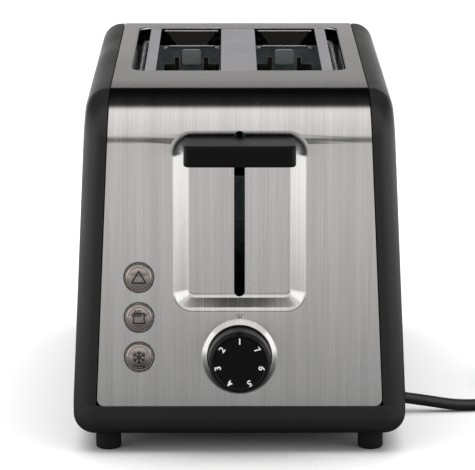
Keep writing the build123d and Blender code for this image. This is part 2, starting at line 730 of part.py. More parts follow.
for side_name, side in (("left", -1), ("right", 1)):
    with BuildPart() as rack:
        with Locations((side * SLOT_X, RACK_START + RACK_LONG / 2, RACK_Z)):
            Box(2, RACK_LONG, 8)
        for finger in range(RACK_FINGERS):
            finger_y = at(CHAMBER_FRONT + RACK_END_GAP) + finger * FINGER_PITCH
            with Locations((side * SLOT_X, finger_y, RACK_Z + 2)):
                Box(24, 1.6, 4)
    save(rack, f"bread_rack_{side_name}")

# ---------------------------------------------------------------- bread guards

GUARD_WIRES = 9

for name, guard_x in GUARD_XS.items():
    with BuildPart() as guard:
        with BuildSketch(Plane.XZ.offset(-at(CHAMBER_FRONT - 2))):
            with Locations((guard_x, GUARD_PIVOT_Z)):
                Circle(GUARD_ROD_R)
        extrude(amount=-CHAMBER_LONG - 4)
        with BuildSketch(Plane.XZ.offset(-at(CHAMBER_FRONT + 4))):
            with Locations((guard_x, GUARD_TOP_Z)):
                Circle(GUARD_ROD_R)
        extrude(amount=-CHAMBER_LONG + 8)
        wire_gap = (CHAMBER_LONG - 14) / (GUARD_WIRES - 1)
        with BuildSketch(Plane.XY.offset(GUARD_PIVOT_Z)):
            for wire in range(GUARD_WIRES):
                with Locations((guard_x, at(CHAMBER_FRONT + 7 + wire * wire_gap))):
                    Circle(0.75)
        extrude(amount=GUARD_TOP_Z - GUARD_PIVOT_Z)
    save(guard, name)

# ---------------------------------------------------------------- controls behind the panel

BOARD_OUT = -14.0
BOARD_T = 1.6
GUIDE_T = 3.0
DOME_RISE = 1.8
DOME_TOP = 2.2
DOME_R = (BUTTON_R**2 + DOME_RISE**2) / (2 * DOME_RISE)
DOME_MID = (BUTTON_R / 2, DOME_TOP - DOME_R + (DOME_R**2 - BUTTON_R**2 / 4) ** 0.5)

for name, z in zip(BUTTON_NAMES, BUTTON_ZS):
    with BuildPart() as button:
        with BuildSketch(section_plane(BUTTON_X, z)):
            with BuildLine():
                Line((0, DOME_TOP), (0, -8.2))
                Line((0, -8.2), (2, -8.2))
                Line((2, -8.2), (2, -5.4))
                Line((2, -5.4), (8.2, -5.4))
                Line((8.2, -5.4), (8.2, -4.3))
                Line((8.2, -4.3), (BUTTON_R, -4.3))
                Line((BUTTON_R, -4.3), (BUTTON_R, DOME_TOP - DOME_RISE))
                ThreePointArc((BUTTON_R, DOME_TOP - DOME_RISE), DOME_MID, (0, DOME_TOP))
            make_face()
        revolve(axis=control_axis(BUTTON_X, z))
    save(button, name)

with BuildPart() as button_guide:
    with BuildSketch(PANEL.offset(-STEEL_T)):
        with Locations((BUTTON_X, up_panel(BUTTON_ZS[1]))):
            RectangleRounded(19, 60, 4)
        with Locations(*[(BUTTON_X, up_panel(z)) for z in BUTTON_ZS]):
            Circle(BUTTON_R + RUNNING_GAP, mode=Mode.SUBTRACT)
    extrude(amount=-GUIDE_T)
save(button_guide, "button_guide")

with BuildPart() as control_board:
    with BuildSketch(PANEL.offset(BOARD_OUT)):
        with BuildLine():
            Polyline(
                (-61, up_panel(34)),
                (24, up_panel(34)),
                (24, up_panel(68)),
                (-38, up_panel(68)),
                (-38, up_panel(99)),
                (-61, up_panel(99)),
                close=True,
            )
        make_face()
    extrude(amount=-BOARD_T)
save(control_board, "control_board")

with BuildPart() as board_parts:
    with BuildSketch(PANEL.offset(BOARD_OUT - BOARD_T)):
        with Locations((-30, up_panel(50))):
            Rectangle(18, 14)
    extrude(amount=-12)
    with BuildSketch(PANEL.offset(BOARD_OUT - BOARD_T)):
        with Locations((-8, up_panel(44)), (4, up_panel(56))):
            Circle(5)
    extrude(amount=-11)
    # push switches behind the buttons
    with BuildSketch(PANEL.offset(BOARD_OUT)):
        with Locations(*[(BUTTON_X, up_panel(z)) for z in BUTTON_ZS]):
            Rectangle(6, 6)
    extrude(amount=2)
    with BuildSketch(PANEL.offset(BOARD_OUT + 2)):
        with Locations(*[(BUTTON_X, up_panel(z)) for z in BUTTON_ZS]):
            Circle(1.7)
    extrude(amount=1)
save(board_parts, "board_parts")

with BuildPart() as potentiometer:
    with BuildSketch(PANEL.offset(BOARD_OUT)):
        with Locations((0, up_panel(KNOB_Z))):
            Circle(8.5)
    extrude(amount=7)
    with BuildSketch(PANEL.offset(BOARD_OUT + 7)):
        with Locations((0, up_panel(KNOB_Z))):
            Circle(4)
    extrude(amount=4.2)
    with BuildSketch(PANEL.offset(BOARD_OUT + 1.5)):
        with Locations((0, up_panel(KNOB_Z))):
            Circle(SHAFT_R + RUNNING_GAP)
    extrude(amount=12, mode=Mode.SUBTRACT)
save(potentiometer, "potentiometer")

with BuildPart() as knob_shaft:
    with BuildSketch(PANEL.offset(BOARD_OUT + 2)):
        with Locations((0, up_panel(KNOB_Z))):
            Circle(SHAFT_R)
    extrude(amount=-(BOARD_OUT + 2) + KNOB_REACH - 5)
save(knob_shaft, "knob_shaft")

with BuildPart() as browning_knob:
    with BuildSketch(section_plane(0, KNOB_Z)):
        with BuildLine():
            Polyline(
                (0, KNOB_REACH - 0.6),
                (KNOB_FACE_R - 0.8, KNOB_REACH - 0.6),
                (KNOB_FACE_R - 0.2, KNOB_REACH),
                (KNOB_FACE_R + 0.4, KNOB_REACH - 0.3),
                (KNOB_R, KNOB_REACH - 3.0),
                (KNOB_R + 0.05, -0.8),
                (0, -0.8),
                close=True,
            )
        make_face()
    revolve(axis=control_axis(0, KNOB_Z))
    with BuildSketch(PANEL.offset(-1)):
        with Locations((0, up_panel(KNOB_Z))):
            Circle(SHAFT_R)
    extrude(amount=KNOB_REACH - 4, mode=Mode.SUBTRACT)
save(browning_knob, "browning_knob")

# ---------------------------------------------------------------- crumb tray

TRAY_BACK = BODY_DEPTH + BASE_PROUD + 0.3
RAIL_LONG = BODY_DEPTH - 13 - TRAY_FRONT

with BuildPart() as crumb_tray:
    with BuildSketch(Plane.XY.offset(TRAY_LOW_Z)):
        with Locations((0, at((TRAY_FRONT + TRAY_BACK) / 2))):
            Rectangle(2 * TRAY_HALF, TRAY_BACK - TRAY_FRONT)
    extrude(amount=TRAY_HIGH_Z - TRAY_LOW_Z)
    offset(amount=-TRAY_T, openings=crumb_tray.faces().sort_by(Axis.Z)[-1])
save(crumb_tray, "crumb_tray")

with BuildPart() as tray_grip:
    with BuildSketch(Plane.XY.offset(11.0)) as grip_plan:
        with Locations((0, at(TRAY_BACK) + (GRIP_REACH - 0.8) / 2)):
            Rectangle(120, GRIP_REACH - 0.8)
        fillet(grip_plan.vertices().group_by(Axis.Y)[-1], 5)
    extrude(amount=11)
    fillet(tray_grip.edges().filter_by(lambda e: e.center().Y > at(TRAY_BACK) + 1), 1.5)
save(tray_grip, "tray_grip")

with BuildPart() as tray_rails:
    for side in (-1, 1):
        with Locations((side * 58.4, at(TRAY_FRONT) + RAIL_LONG / 2, FLOOR_Z + 4.5)):
            Box(2, RAIL_LONG, 9)
        with Locations((side * 55.4, at(TRAY_FRONT) + RAIL_LONG / 2, FLOOR_Z + 0.55)):
            Box(4, RAIL_LONG, 1.1)
        with Locations((side * 56.4, at(TRAY_FRONT) + RAIL_LONG / 2, FLOOR_Z + 8.5)):
            Box(2, RAIL_LONG, 1)
save(tray_rails, "tray_rails")

# ---------------------------------------------------------------- mains cord

RELIEF_TIP = Vector(80.0, at(CORD_DEPTH), 8.2)
RELIEF_DIR = Vector(cos(radians(RELIEF_TILT)), 0, -sin(radians(RELIEF_TILT)))
RELIEF_LONG = (RELIEF_TIP.X - POCKET_IN_X) / cos(radians(RELIEF_TILT))
relief_root = RELIEF_TIP - RELIEF_DIR * RELIEF_LONG
relief_side = Plane(origin=relief_root, x_dir=RELIEF_DIR, z_dir=(0, -1, 0))

with BuildPart() as strain_relief:
    with BuildSketch(relief_side):
        with BuildLine():
            Polyline(
                (1.3, 0),
                (1.3, 4.6),
                (2.0, 5.0),
                (7, 5.0),
                (RELIEF_LONG, CORD_R + 0.6),
                (RELIEF_LONG, 0),
                close=True,
            )
        make_face()
    revolve(axis=Axis(relief_root, RELIEF_DIR))
    with Locations((POCKET_IN_X - POCKET_T - 1.2, at(CORD_DEPTH), FLOOR_Z + 4.1)):
        Box(2.2, 12, 8)
    with BuildSketch(Plane.YZ.offset(POCKET_IN_X - POCKET_T - 0.2)):
        with Locations((at(CORD_DEPTH), gland_z)):
            Circle(3.7)
    extrude(amount=POCKET_T + 2.0)
save(strain_relief, "strain_relief")

with BuildPart() as terminal_block:
    with BuildSketch(Plane.XY.offset(FLOOR_Z)):
        with Locations((30, at(CORD_DEPTH))):
            Rectangle(20, 18)
    extrude(amount=11)
    with BuildSketch(Plane.XY.offset(FLOOR_Z + 11)):
        with Locations(*[(x, at(CORD_DEPTH + d)) for x in (25, 35) for d in (-5, 5)]):
            Circle(2)
    extrude(amount=-6, mode=Mode.SUBTRACT)
save(terminal_block, "terminal_block")


def tangent_radii(points):
    """The largest arc at each corner of a route that its two runs have room for."""
    radii = []
    for before, corner, after in zip(points, points[1:], points[2:]):
        first = Vector(*corner) - Vector(*before)
        second = Vector(*after) - Vector(*corner)
        half_turn = radians(first.get_angle(second)) / 2
        radii.append(0.45 * min(first.length, second.length) / tan(half_turn))
    return radii


def cord_run(points, name):
    """A round cord along straight runs joined by tangent arcs."""
    radii = tangent_radii(points)
    with BuildPart() as run:
        with BuildLine() as route:
            FilletPolyline(*points, radius=radii)
        start = Vector(*points[0])
        heading = Vector(*points[1]) - start
        with BuildSketch(Plane(origin=start, z_dir=heading)):
            Circle(CORD_R)
        sweep(path=route.wires()[0])
    long = route.wires()[0].length
    print(name, "radii", [round(r) for r in radii], "length", round(long, 1))
    print(name, "volume share", round(run.part.volume / (pi * CORD_R**2 * long), 4))
    save(run, name)
    return long


# from the gland's tip down to the table, then along it to the coil
CORD_ROUTE = [
    (80.0, at(79.0), 8.2),
    (96.0, at(79.7), 5.9),
    (112.0, at(79.5), 3.2),
    (128.0, at(81.6), 3.0),
    (144.0, at(85.5), 3.0),
    (160.0, at(88.8), 3.0),
    (COIL_X, at(COIL_DEPTH) - COIL_OUT_R, 3.0),
]
tube_long = cord_run(CORD_ROUTE, "cord_tube")

# the put-away turns: two layers wound inwards and out again
COIL_IN_R = COIL_OUT_R - CORD_R * COIL_TURNS
with BuildPart() as cord_coil:
    with BuildSketch(Plane.XZ.offset(-at(COIL_DEPTH))):
        with Locations((COIL_X + (COIL_IN_R + COIL_OUT_R) / 2, 2 * CORD_R)):
            RectangleRounded(COIL_OUT_R - COIL_IN_R + 2 * CORD_R, 4 * CORD_R, CORD_R * 0.8)
    revolve(axis=Axis((COIL_X, at(COIL_DEPTH), 0), (0, 0, 1)))
save(cord_coil, "cord_coil")

PLUG_DEPTH = COIL_DEPTH + 41.0
PLUG_Z = 7.5
TAIL_X = COIL_X + COIL_OUT_R
TAIL_ROUTE = [
    (TAIL_X, at(COIL_DEPTH), 9.0),
    (TAIL_X + 0.4, at(COIL_DEPTH + 14), 8.9),
    (TAIL_X - 0.1, at(COIL_DEPTH + 28), 8.1),
    (TAIL_X, at(PLUG_DEPTH), PLUG_Z),
]
tail_long = cord_run(TAIL_ROUTE, "cord_tail")
coil_long = pi * (COIL_IN_R + COIL_OUT_R) * COIL_TURNS
print("whole cord", round(tube_long + coil_long + tail_long, 1))

with BuildPart() as plug_body:
    with BuildSketch(Plane.XZ.offset(-at(PLUG_DEPTH))):
        with Locations((TAIL_X, PLUG_Z)):
            Circle(4.2)
    extrude(amount=-15)
    with BuildSketch(Plane.XZ.offset(-at(PLUG_DEPTH + 14))):
        with Locations((TAIL_X, PLUG_Z)):
            RectangleRounded(14, 11, 4)
    with BuildSketch(Plane.XZ.offset(-at(PLUG_DEPTH + 30))):
        with Locations((TAIL_X, PLUG_Z)):
            RectangleRounded(24, 15, 4)
    loft()
    with BuildSketch(Plane.XZ.offset(-at(PLUG_DEPTH + 30))):
        with Locations((TAIL_X, PLUG_Z)):
            RectangleRounded(24, 15, 4)
    extrude(amount=-14)
save(plug_body, "plug_body")

with BuildPart() as plug_blades:
    with BuildSketch(Plane.XZ.offset(-at(PLUG_DEPTH + 44))):
        with Locations((TAIL_X - 6.35, PLUG_Z), (TAIL_X + 6.35, PLUG_Z)):
            Rectangle(1.5, 6.3)
    extrude(amount=-17)
save(plug_blades, "plug_blades")
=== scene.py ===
"""Builds the looks of a two-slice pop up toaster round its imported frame."""

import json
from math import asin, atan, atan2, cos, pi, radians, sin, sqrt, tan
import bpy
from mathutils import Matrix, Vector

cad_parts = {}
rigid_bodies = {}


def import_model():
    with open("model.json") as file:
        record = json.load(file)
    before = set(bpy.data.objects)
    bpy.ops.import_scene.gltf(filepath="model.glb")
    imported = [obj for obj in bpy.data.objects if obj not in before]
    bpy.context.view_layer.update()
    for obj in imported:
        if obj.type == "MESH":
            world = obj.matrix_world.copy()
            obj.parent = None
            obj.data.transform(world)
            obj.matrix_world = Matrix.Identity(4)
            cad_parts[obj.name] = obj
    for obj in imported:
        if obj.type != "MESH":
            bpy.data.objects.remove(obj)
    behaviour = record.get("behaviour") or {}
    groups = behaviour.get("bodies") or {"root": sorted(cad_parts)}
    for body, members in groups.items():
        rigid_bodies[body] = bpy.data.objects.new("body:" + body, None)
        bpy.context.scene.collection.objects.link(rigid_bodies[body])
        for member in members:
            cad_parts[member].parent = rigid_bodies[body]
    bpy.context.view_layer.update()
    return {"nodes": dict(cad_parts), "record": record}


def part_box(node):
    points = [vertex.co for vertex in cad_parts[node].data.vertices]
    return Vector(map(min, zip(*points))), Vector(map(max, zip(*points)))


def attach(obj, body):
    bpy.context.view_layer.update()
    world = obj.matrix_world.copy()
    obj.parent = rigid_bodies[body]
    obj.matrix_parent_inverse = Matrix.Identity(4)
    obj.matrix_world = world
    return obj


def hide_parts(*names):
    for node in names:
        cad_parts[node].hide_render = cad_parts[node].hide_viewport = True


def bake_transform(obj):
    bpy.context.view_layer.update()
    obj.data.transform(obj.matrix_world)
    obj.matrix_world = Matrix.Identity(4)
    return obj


bl_info = {
    "name": "Pop Up Toaster",
    "version": (1, 0, 0),
    "blender": (4, 5, 0),
    "location": "3D View > Sidebar > Toaster",
    "description": "Models and paints a two-slice pop up toaster round its packed frame",
    "category": "Add Mesh",
}

import bmesh
import bpy
from bpy.props import FloatProperty, FloatVectorProperty, IntProperty, PointerProperty
from mathutils import Matrix, Vector

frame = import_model()

# ------------------------------------------------------------------ places read from the frame

NODE_FINISH = {part["node"]: part["material_slot"] for part in frame["record"]["subparts"]}
WRAP_LOW, WRAP_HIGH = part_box("steel_wrap")
SEAM_Z = WRAP_LOW.z
TOP_Z = WRAP_HIGH.z
REAR_Y = WRAP_HIGH.y
TINY = 0.00001
CORD_DEPTH = 0.079  # where the cord leaves the base, behind the front
CORD_TIP = (0.080, 0.0082)  # across and up, where it leaves its strain relief


def length(name, description, default):
    """A length for the sidebar."""
    return FloatProperty(name=name, description=description, default=default, unit="LENGTH")


def chosen_colour(name, description, default):
    """A colour for the sidebar."""
    return FloatVectorProperty(name=name, description=description, subtype="COLOR", default=default)


class HousingSizes(bpy.types.PropertyGroup):
    """Sizes of the steel wrap, the plastic sides and the base"""

    depth: length("Depth", "Front panel to rear panel at the seam", 0.280)
    rake: FloatProperty(
        name="Rake", description="Lean of the front and rear", default=radians(3), unit="ROTATION"
    )
    bend: length("Bend", "Outer radius of the wrap's two bends", 0.025)
    sheet: length("Sheet", "Thickness of the steel", 0.001)
    wrap_half_seam: length("Wrap at seam", "Half width of the steel at the base", 0.070)
    wrap_half_top: length("Wrap at top", "Half width of the steel at the top", 0.063)
    side_half_seam: length("Sides at seam", "Half width over the sides at the base", 0.082)
    side_half_top: length("Sides at top", "Half width over the sides at the top", 0.0749)
    side_edge: length("Side edge", "Rounding of the plastic sides", 0.010)
    gap: length("Gap", "Joint between steel and plastic", 0.0005)
    base_corner: length("Base corner", "Plan radius of the base", 0.011)
    base_round: length("Base rounding", "Radius round the base's lower rim", 0.010)
    base_wall: length("Base wall", "Wall of the base tub", 0.0025)
    opening_half: length("Opening", "Half width of the top opening", 0.0545)
    opening_front: length("Opening front", "Depth at which the opening starts", 0.084)
    opening_rear: length("Opening rear", "Depth at which the opening ends", 0.234)
    opening_corner: length("Opening corner", "Corner radius of the opening", 0.008)
    slot_x: length("Slot offset", "Middle of each bread slot", 0.0259)


class ControlSizes(bpy.types.PropertyGroup):
    """Sizes of the lever's pan, the lever, the knob and the buttons"""

    pan_half: length("Pan half width", "Half width at the pan's rim", 0.032)
    pan_low: length("Pan bottom", "Height of the pan's lower rim", 0.0731)
    pan_high: length("Pan top", "Height of the pan's upper rim", 0.1585)
    pan_depth: length("Pan depth", "How far the pan is pressed in", 0.0055)
    pan_wall: length("Pan wall", "Width taken by the sloping wall", 0.0058)
    pan_corner: length("Pan corner", "Corner radius at the rim", 0.009)
    pan_fillet: length("Pan fillet", "Rounding of rim and floor", 0.0034)
    lever_slot: length("Lever slot", "Width of the lever's slot", 0.0053)
    lever_slot_low: length("Slot bottom", "Lower end of the slot", 0.0786)
    lever_slot_high: length("Slot top", "Upper end of the slot", 0.1608)
    knob_z: length("Knob height", "Where the knob's axis meets the panel", 0.0498)
    knob_radius: length("Knob radius", "Radius of the knob at the panel", 0.0151)
    knob_face: length("Knob face", "Radius of the knob's front", 0.0135)
    knob_reach: length("Knob reach", "How far the knob stands out", 0.018)
    numerals: IntProperty(
        name="Browning steps", description="How many numbers stand round the knob", default=7, min=3, max=9
    )
    collar_radius: length("Collar radius", "Outer radius of the raised collar", 0.018)
    collar_bore: length("Collar bore", "Inner radius of the collar", 0.0155)
    collar_rise: length("Collar rise", "How far the collar stands out", 0.0015)
    button_radius: length("Button radius", "Radius of each push button", 0.0066)
    button_hole: length("Button hole", "Radius of the hole in the steel", 0.007)
    button_x: length("Button column", "Middle of the column of buttons", -0.0491)
    button_zs: FloatVectorProperty(
        name="Button heights",
        description="Heights of the buttons",
        default=(0.089, 0.0692, 0.0496),
        unit="LENGTH",
    )


class CordSizes(bpy.types.PropertyGroup):
    """Sizes of the mains cord and its put-away turns"""

    diameter: length("Diameter", "Outside diameter of the cord", 0.006)
    coil_x: length("Coil across", "Middle of the coil", 0.174)
    coil_depth: length("Coil depth", "Middle of the coil behind the front", 0.129)
    coil_radius: length("Coil radius", "Radius of the outermost turn", 0.039)
    coil_turns: FloatProperty(
        name="Turns", description="Turns wound inwards and out again", default=3.25
    )


class FinishColours(bpy.types.PropertyGroup):
    """Main colours of the finishes"""

    steel: chosen_colour("Steel", "Brushed steel", (0.47, 0.465, 0.462))
    side: chosen_colour("Side plastic", "Satin black sides", (0.011, 0.0105, 0.0105))
    base: chosen_colour("Base plastic", "Matt black base", (0.010, 0.010, 0.011))
    smoke: chosen_colour("Smoked chrome", "Push buttons", (0.30, 0.265, 0.25))
    floor: chosen_colour("Floor", "Plain pale floor", (0.93, 0.93, 0.93))


GROUPS = {
    "toaster_housing": HousingSizes,
    "toaster_controls": ControlSizes,
    "toaster_cord": CordSizes,
    "toaster_colours": FinishColours,
}


# ------------------------------------------------------------------ modelling helpers


def front_y(housing):
    """World y of the front panel at the seam."""
    return REAR_Y - housing.depth


def panel_place(housing):
    """The raked front panel's own axes: x across, y up the sheet, z out of the toaster."""
    return Matrix.Translation((0, front_y(housing), SEAM_Z)) @ Matrix.Rotation(pi / 2 - housing.rake, 4, "X")


def up_panel(housing, height):
    """Distance up the sheet of a world height."""
    return (height - SEAM_Z) / cos(housing.rake)


def on_panel(housing, x, height):
    """Place on the panel at a world height, turned to the panel."""
    return panel_place(housing) @ Matrix.Translation((x, up_panel(housing, height), 0))


def bare():
    """Leaves edit mode and deselects everything."""
    if bpy.context.object and bpy.context.object.mode != "OBJECT":
        bpy.ops.object.mode_set(mode="OBJECT")
    bpy.ops.object.select_all(action="DESELECT")


def named(name):
    """Names the object that an operator has just made."""
    piece = bpy.context.object
    piece.name = name
    piece.data.name = name
    return piece


def activate(piece):
    """Makes one piece the whole selection."""
    bare()
    piece.select_set(True)
    bpy.context.view_layer.objects.active = piece
    return piece


def edit(piece):
    """Opens a piece in edit mode with all of it selected."""
    activate(piece)
    bpy.ops.object.mode_set(mode="EDIT")
    bpy.ops.mesh.select_mode(type="VERT")
    bpy.ops.mesh.select_all(action="SELECT")


def settle(piece, place=None):
    """Puts a piece at a place and moves that place into its mesh."""
    activate(piece)
    if place is not None:
        piece.matrix_world = place @ piece.matrix_world
    bpy.ops.object.transform_apply(location=True, rotation=True, scale=True)
    return piece


def block(name, low, high):
    """A box between two corners."""
    low, high = Vector(low), Vector(high)
    bare()
    bpy.ops.mesh.primitive_cube_add(size=1, location=(low + high) / 2)
    piece = named(name)
    piece.scale = high - low
    return settle(piece)


def drum(name, radius, low, high, sides=48):
    """An upright cylinder between two heights on the local axis."""
    bare()
    bpy.ops.mesh.primitive_cylinder_add(
        vertices=sides, radius=radius, depth=high - low, location=(0, 0, (low + high) / 2)
    )
    return settle(named(name))


def pick(kind, test):
    """Selects the vertices, edges or faces whose middle and direction pass a test."""
    bpy.ops.mesh.select_mode(type=kind)
    bpy.ops.mesh.select_all(action="DESELECT")
    data = bpy.context.object.data
    shape = bmesh.from_edit_mesh(data)
    shape.normal_update()
    if kind == "VERT":
        chosen = [corner for corner in shape.verts if test(corner.co, corner.normal)]
    elif kind == "EDGE":
        chosen = []
        for edge in shape.edges:
            start, end = edge.verts[0].co, edge.verts[1].co
            if test((start + end) / 2, (end - start).normalized()):
                chosen.append(edge)
    else:
        chosen = [face for face in shape.faces if test(face.calc_center_median(), face.normal)]
    for part in chosen:
        part.select_set(True)
    bmesh.update_edit_mesh(data)
    return len(chosen)


def round_edges(width, segments, kind="EDGES"):
    """Rounds the selected edges or corners."""
    bpy.ops.mesh.bevel(
        offset_type="OFFSET", offset=width, segments=segments, profile=0.5, affect=kind, clamp_overlap=False
    )


def rounded_block(name, low, high, radius, segments=8):
    """A box whose upright edges are rounded."""
    piece = block(name, low, high)
    edit(piece)
    pick("EDGE", lambda middle, along: abs(along.z) > 0.9)
    round_edges(radius, segments)
    bare()
    return piece


def rounded_plate(name, half_x, half_y, radius, segments=10):
    """One flat face with rounded corners, facing up the local axis."""
    bare()
    bpy.ops.mesh.primitive_plane_add(size=1)
    piece = named(name)
    piece.scale = (2 * half_x, 2 * half_y, 1)
    settle(piece)
    edit(piece)
    round_edges(radius, segments, "VERTICES")
    bare()
    return piece


def lathe(name, profile, steps=64):
    """A turned shape about the local axis, from points of radius and height."""
    bare()
    bpy.ops.mesh.primitive_plane_add(size=0.001)
    piece = named(name)
    edit(piece)
    bpy.ops.mesh.merge(type="CENTER")
    pen = Vector((0, 0, 0))
    first = True
    for radius, height in profile:
        spot = Vector((radius, 0, height))
        if first:
            bpy.ops.transform.translate(value=spot - pen)
            first = False
        else:
            bpy.ops.mesh.extrude_region_move(TRANSFORM_OT_translate={"value": spot - pen})
        pen = spot
    bpy.ops.mesh.select_all(action="SELECT")
    bpy.ops.mesh.spin(steps=steps, angle=2 * pi, center=(0, 0, 0), axis=(0, 0, 1))
    bpy.ops.mesh.select_all(action="SELECT")
    bpy.ops.mesh.remove_doubles(threshold=TINY)
    bpy.ops.mesh.normals_make_consistent(inside=False)
    bare()
    return piece


def arc(centre, radius, start, end, count):
    """Points of radius and height along an arc of a lathe's profile."""
    points = []
    for i in range(count + 1):
        angle = start + (end - start) * i / count
        points.append((centre[0] + radius * cos(angle), centre[1] + radius * sin(angle)))
    return points


def modify(piece, kind, **settings):
    """Adds a modifier with its settings and applies it."""
    activate(piece)
    step = piece.modifiers.new(kind.title(), kind)
    for key, value in settings.items():
        setattr(step, key, value)
    bpy.ops.object.modifier_apply(modifier=step.name)


def cut(piece, cutter):
    """Takes one closed shape out of another."""
    modify(piece, "BOOLEAN", operation="DIFFERENCE", object=cutter, solver="EXACT")
    bpy.data.objects.remove(cutter)


def gather(piece, *others):
    """Joins pieces into the first one."""
    activate(piece)
    for other in others:
        other.select_set(True)
    bpy.ops.object.join()
    return piece


def copied(piece, name):
    """A copy with its own mesh."""
    activate(piece)
    bpy.ops.object.duplicate()
    return named(name)


def smooth(piece, angle=32, weighted=True):
    """Smooth shading up to an angle, with flat faces kept flat."""
    activate(piece)
    bpy.ops.object.shade_smooth_by_angle(angle=radians(angle))
    if weighted:
        modify(piece, "WEIGHTED_NORMAL", keep_sharp=True, mode="FACE_AREA", weight=50)


def mirrored(piece, name):
    """The piece's twin on the other side."""
    twin = copied(piece, name)
    edit(twin)
    bpy.ops.transform.resize(value=(-1, 1, 1), center_override=(0, 0, 0))
    bpy.ops.mesh.flip_normals()
    bare()
    return twin


def refined(node, name):
    """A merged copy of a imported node, ready to be rounded and smoothed."""
    twin = copied(frame["nodes"][node], name)
    for key in list(twin.keys()):
        del twin[key]
    activate(twin)
    bpy.ops.object.parent_clear(type="CLEAR_KEEP_TRANSFORM")
    edit(twin)
    bpy.ops.mesh.remove_doubles(threshold=TINY)
    bare()
    return twin


def hand_over(piece, body, finish, *nodes):
    """Gives a finished piece its body, its finish and the nodes that it stands for."""
    piece.data.materials.clear()
    piece.data.materials.append(bpy.data.materials[finish])
    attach(piece, body)
    if nodes:
        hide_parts(*nodes)
    bare()
    return piece


# ------------------------------------------------------------------ finishes


def add_node(tree, kind, settings=None, **inputs):
    """A shader node with its settings and its inputs, which are values or other sockets."""
    node = tree.nodes.new(kind)
    for key, value in (settings or {}).items():
        setattr(node, key, value)
    for key, value in inputs.items():
        numbered = key[0] == "i" and key[1:].isdigit()
        socket = node.inputs[int(key[1:]) if numbered else key.replace("_", " ")]
        if isinstance(value, bpy.types.NodeSocket):
            tree.links.new(value, socket)
        else:
            socket.default_value = value
    return node


def noise(tree, place, scale, detail, rough=0.5):
    """A noise texture."""
    return add_node(tree, "ShaderNodeTexNoise", Vector=place, Scale=scale, Detail=detail, Roughness=rough)


def maths(tree, operation, *values):
    """The result of one operation on values or other sockets."""
    given = {f"i{i}": value for i, value in enumerate(values)}
    return add_node(tree, "ShaderNodeMath", {"operation": operation}, **given).outputs[0]


def new_group(name, inputs, outputs):
    """An empty node group with named sockets."""
    tree = bpy.data.node_groups.new(name, "ShaderNodeTree")
    for label, kind, value in inputs:
        socket = tree.interface.new_socket(label, in_out="INPUT", socket_type=kind)
        if value is not None:
            socket.default_value = value
    for label, kind in outputs:
        tree.interface.new_socket(label, in_out="OUTPUT", socket_type=kind)
    return tree, tree.nodes.new("NodeGroupInput").outputs, tree.nodes.new("NodeGroupOutput").inputs


def grain_group():
    """Straight brush lines, close together across and long along."""
    tree, given, result = new_group(
        "Brush grain",
        [
            ("Vector", "NodeSocketVector", None),
            ("Lines", "NodeSocketVector", (1100.0, 9.0, 9.0)),
            ("Contrast", "NodeSocketFloat", 1.0),
        ],
        [("Shade", "NodeSocketFloat"), ("Height", "NodeSocketFloat")],
    )
    stretched = add_node(
        tree, "ShaderNodeVectorMath", {"operation": "MULTIPLY"}, i0=given["Vector"], i1=given["Lines"]
    ).outputs[0]
    fine = noise(tree, stretched, 1.0, 3.0, 0.65)
    wide = noise(tree, stretched, 0.13, 2.0)
    weighed = {"i0": 0.4, "i2": fine.outputs[0], "i3": wide.outputs[0]}
    both = add_node(tree, "ShaderNodeMix", {"data_type": "FLOAT"}, **weighed)
    shade = spread(tree, both.outputs[0], 0.0, 1.0, 0.3, 0.7)
    strong = maths(tree, "MULTIPLY", fine.outputs[0], given["Contrast"])
    tree.links.new(shade, result["Shade"])
    tree.links.new(strong, result["Height"])
    return tree


def mottle_group():
    """Fine moulded texture with broad, faint handling marks."""
    tree, given, result = new_group(
        "Moulded mottle",
        [
            ("Vector", "NodeSocketVector", None),
            ("Fine Scale", "NodeSocketFloat", 1500.0),
            ("Broad Scale", "NodeSocketFloat", 30.0),
        ],
        [("Fine", "NodeSocketFloat"), ("Broad", "NodeSocketFloat")],
    )
    fine = noise(tree, given["Vector"], given["Fine Scale"], 2.0)
    broad = noise(tree, given["Vector"], given["Broad Scale"], 5.0, 0.6)
    tree.links.new(fine.outputs[0], result["Fine"])
    tree.links.new(broad.outputs[0], result["Broad"])
    return tree


def wear_group():
    """Mask of the edges that hands and handling rub."""
    tree, given, result = new_group(
        "Edge wear",
        [("Radius", "NodeSocketFloat", 0.001), ("Amount", "NodeSocketFloat", 1.0)],
        [("Mask", "NodeSocketFloat")],
    )
    rounded = add_node(tree, "ShaderNodeBevel", {"samples": 4}, Radius=given["Radius"])
    true = tree.nodes.new("ShaderNodeNewGeometry")
    normals = {"i0": rounded.outputs[0], "i1": true.outputs["Normal"]}
    match = add_node(tree, "ShaderNodeVectorMath", {"operation": "DOT_PRODUCT"}, **normals)
    edge = spread(tree, match.outputs["Value"], 0.0, 1.0, 0.98, 0.80)
    tree.links.new(maths(tree, "MULTIPLY", edge, given["Amount"]), result["Mask"])
    return tree


def dust_group():
    """Mask of the dust that settles on what faces up."""
    tree, given, result = new_group(
        "Settled dust",
        [("Vector", "NodeSocketVector", None), ("Amount", "NodeSocketFloat", 0.3)],
        [("Mask", "NodeSocketFloat")],
    )
    facing = tree.nodes.new("ShaderNodeNewGeometry")
    parts = add_node(tree, "ShaderNodeSeparateXYZ", Vector=facing.outputs["Normal"])
    upward = spread(tree, parts.outputs["Z"], 0.0, 1.0, 0.5, 1.0)
    specks = noise(tree, given["Vector"], 420.0, 6.0, 0.7)
    patchy = spread(tree, specks.outputs[0], 0.0, 1.0, 0.45, 0.75)
    both = maths(tree, "MULTIPLY", upward, patchy)
    tree.links.new(maths(tree, "MULTIPLY", both, given["Amount"]), result["Mask"])
    return tree


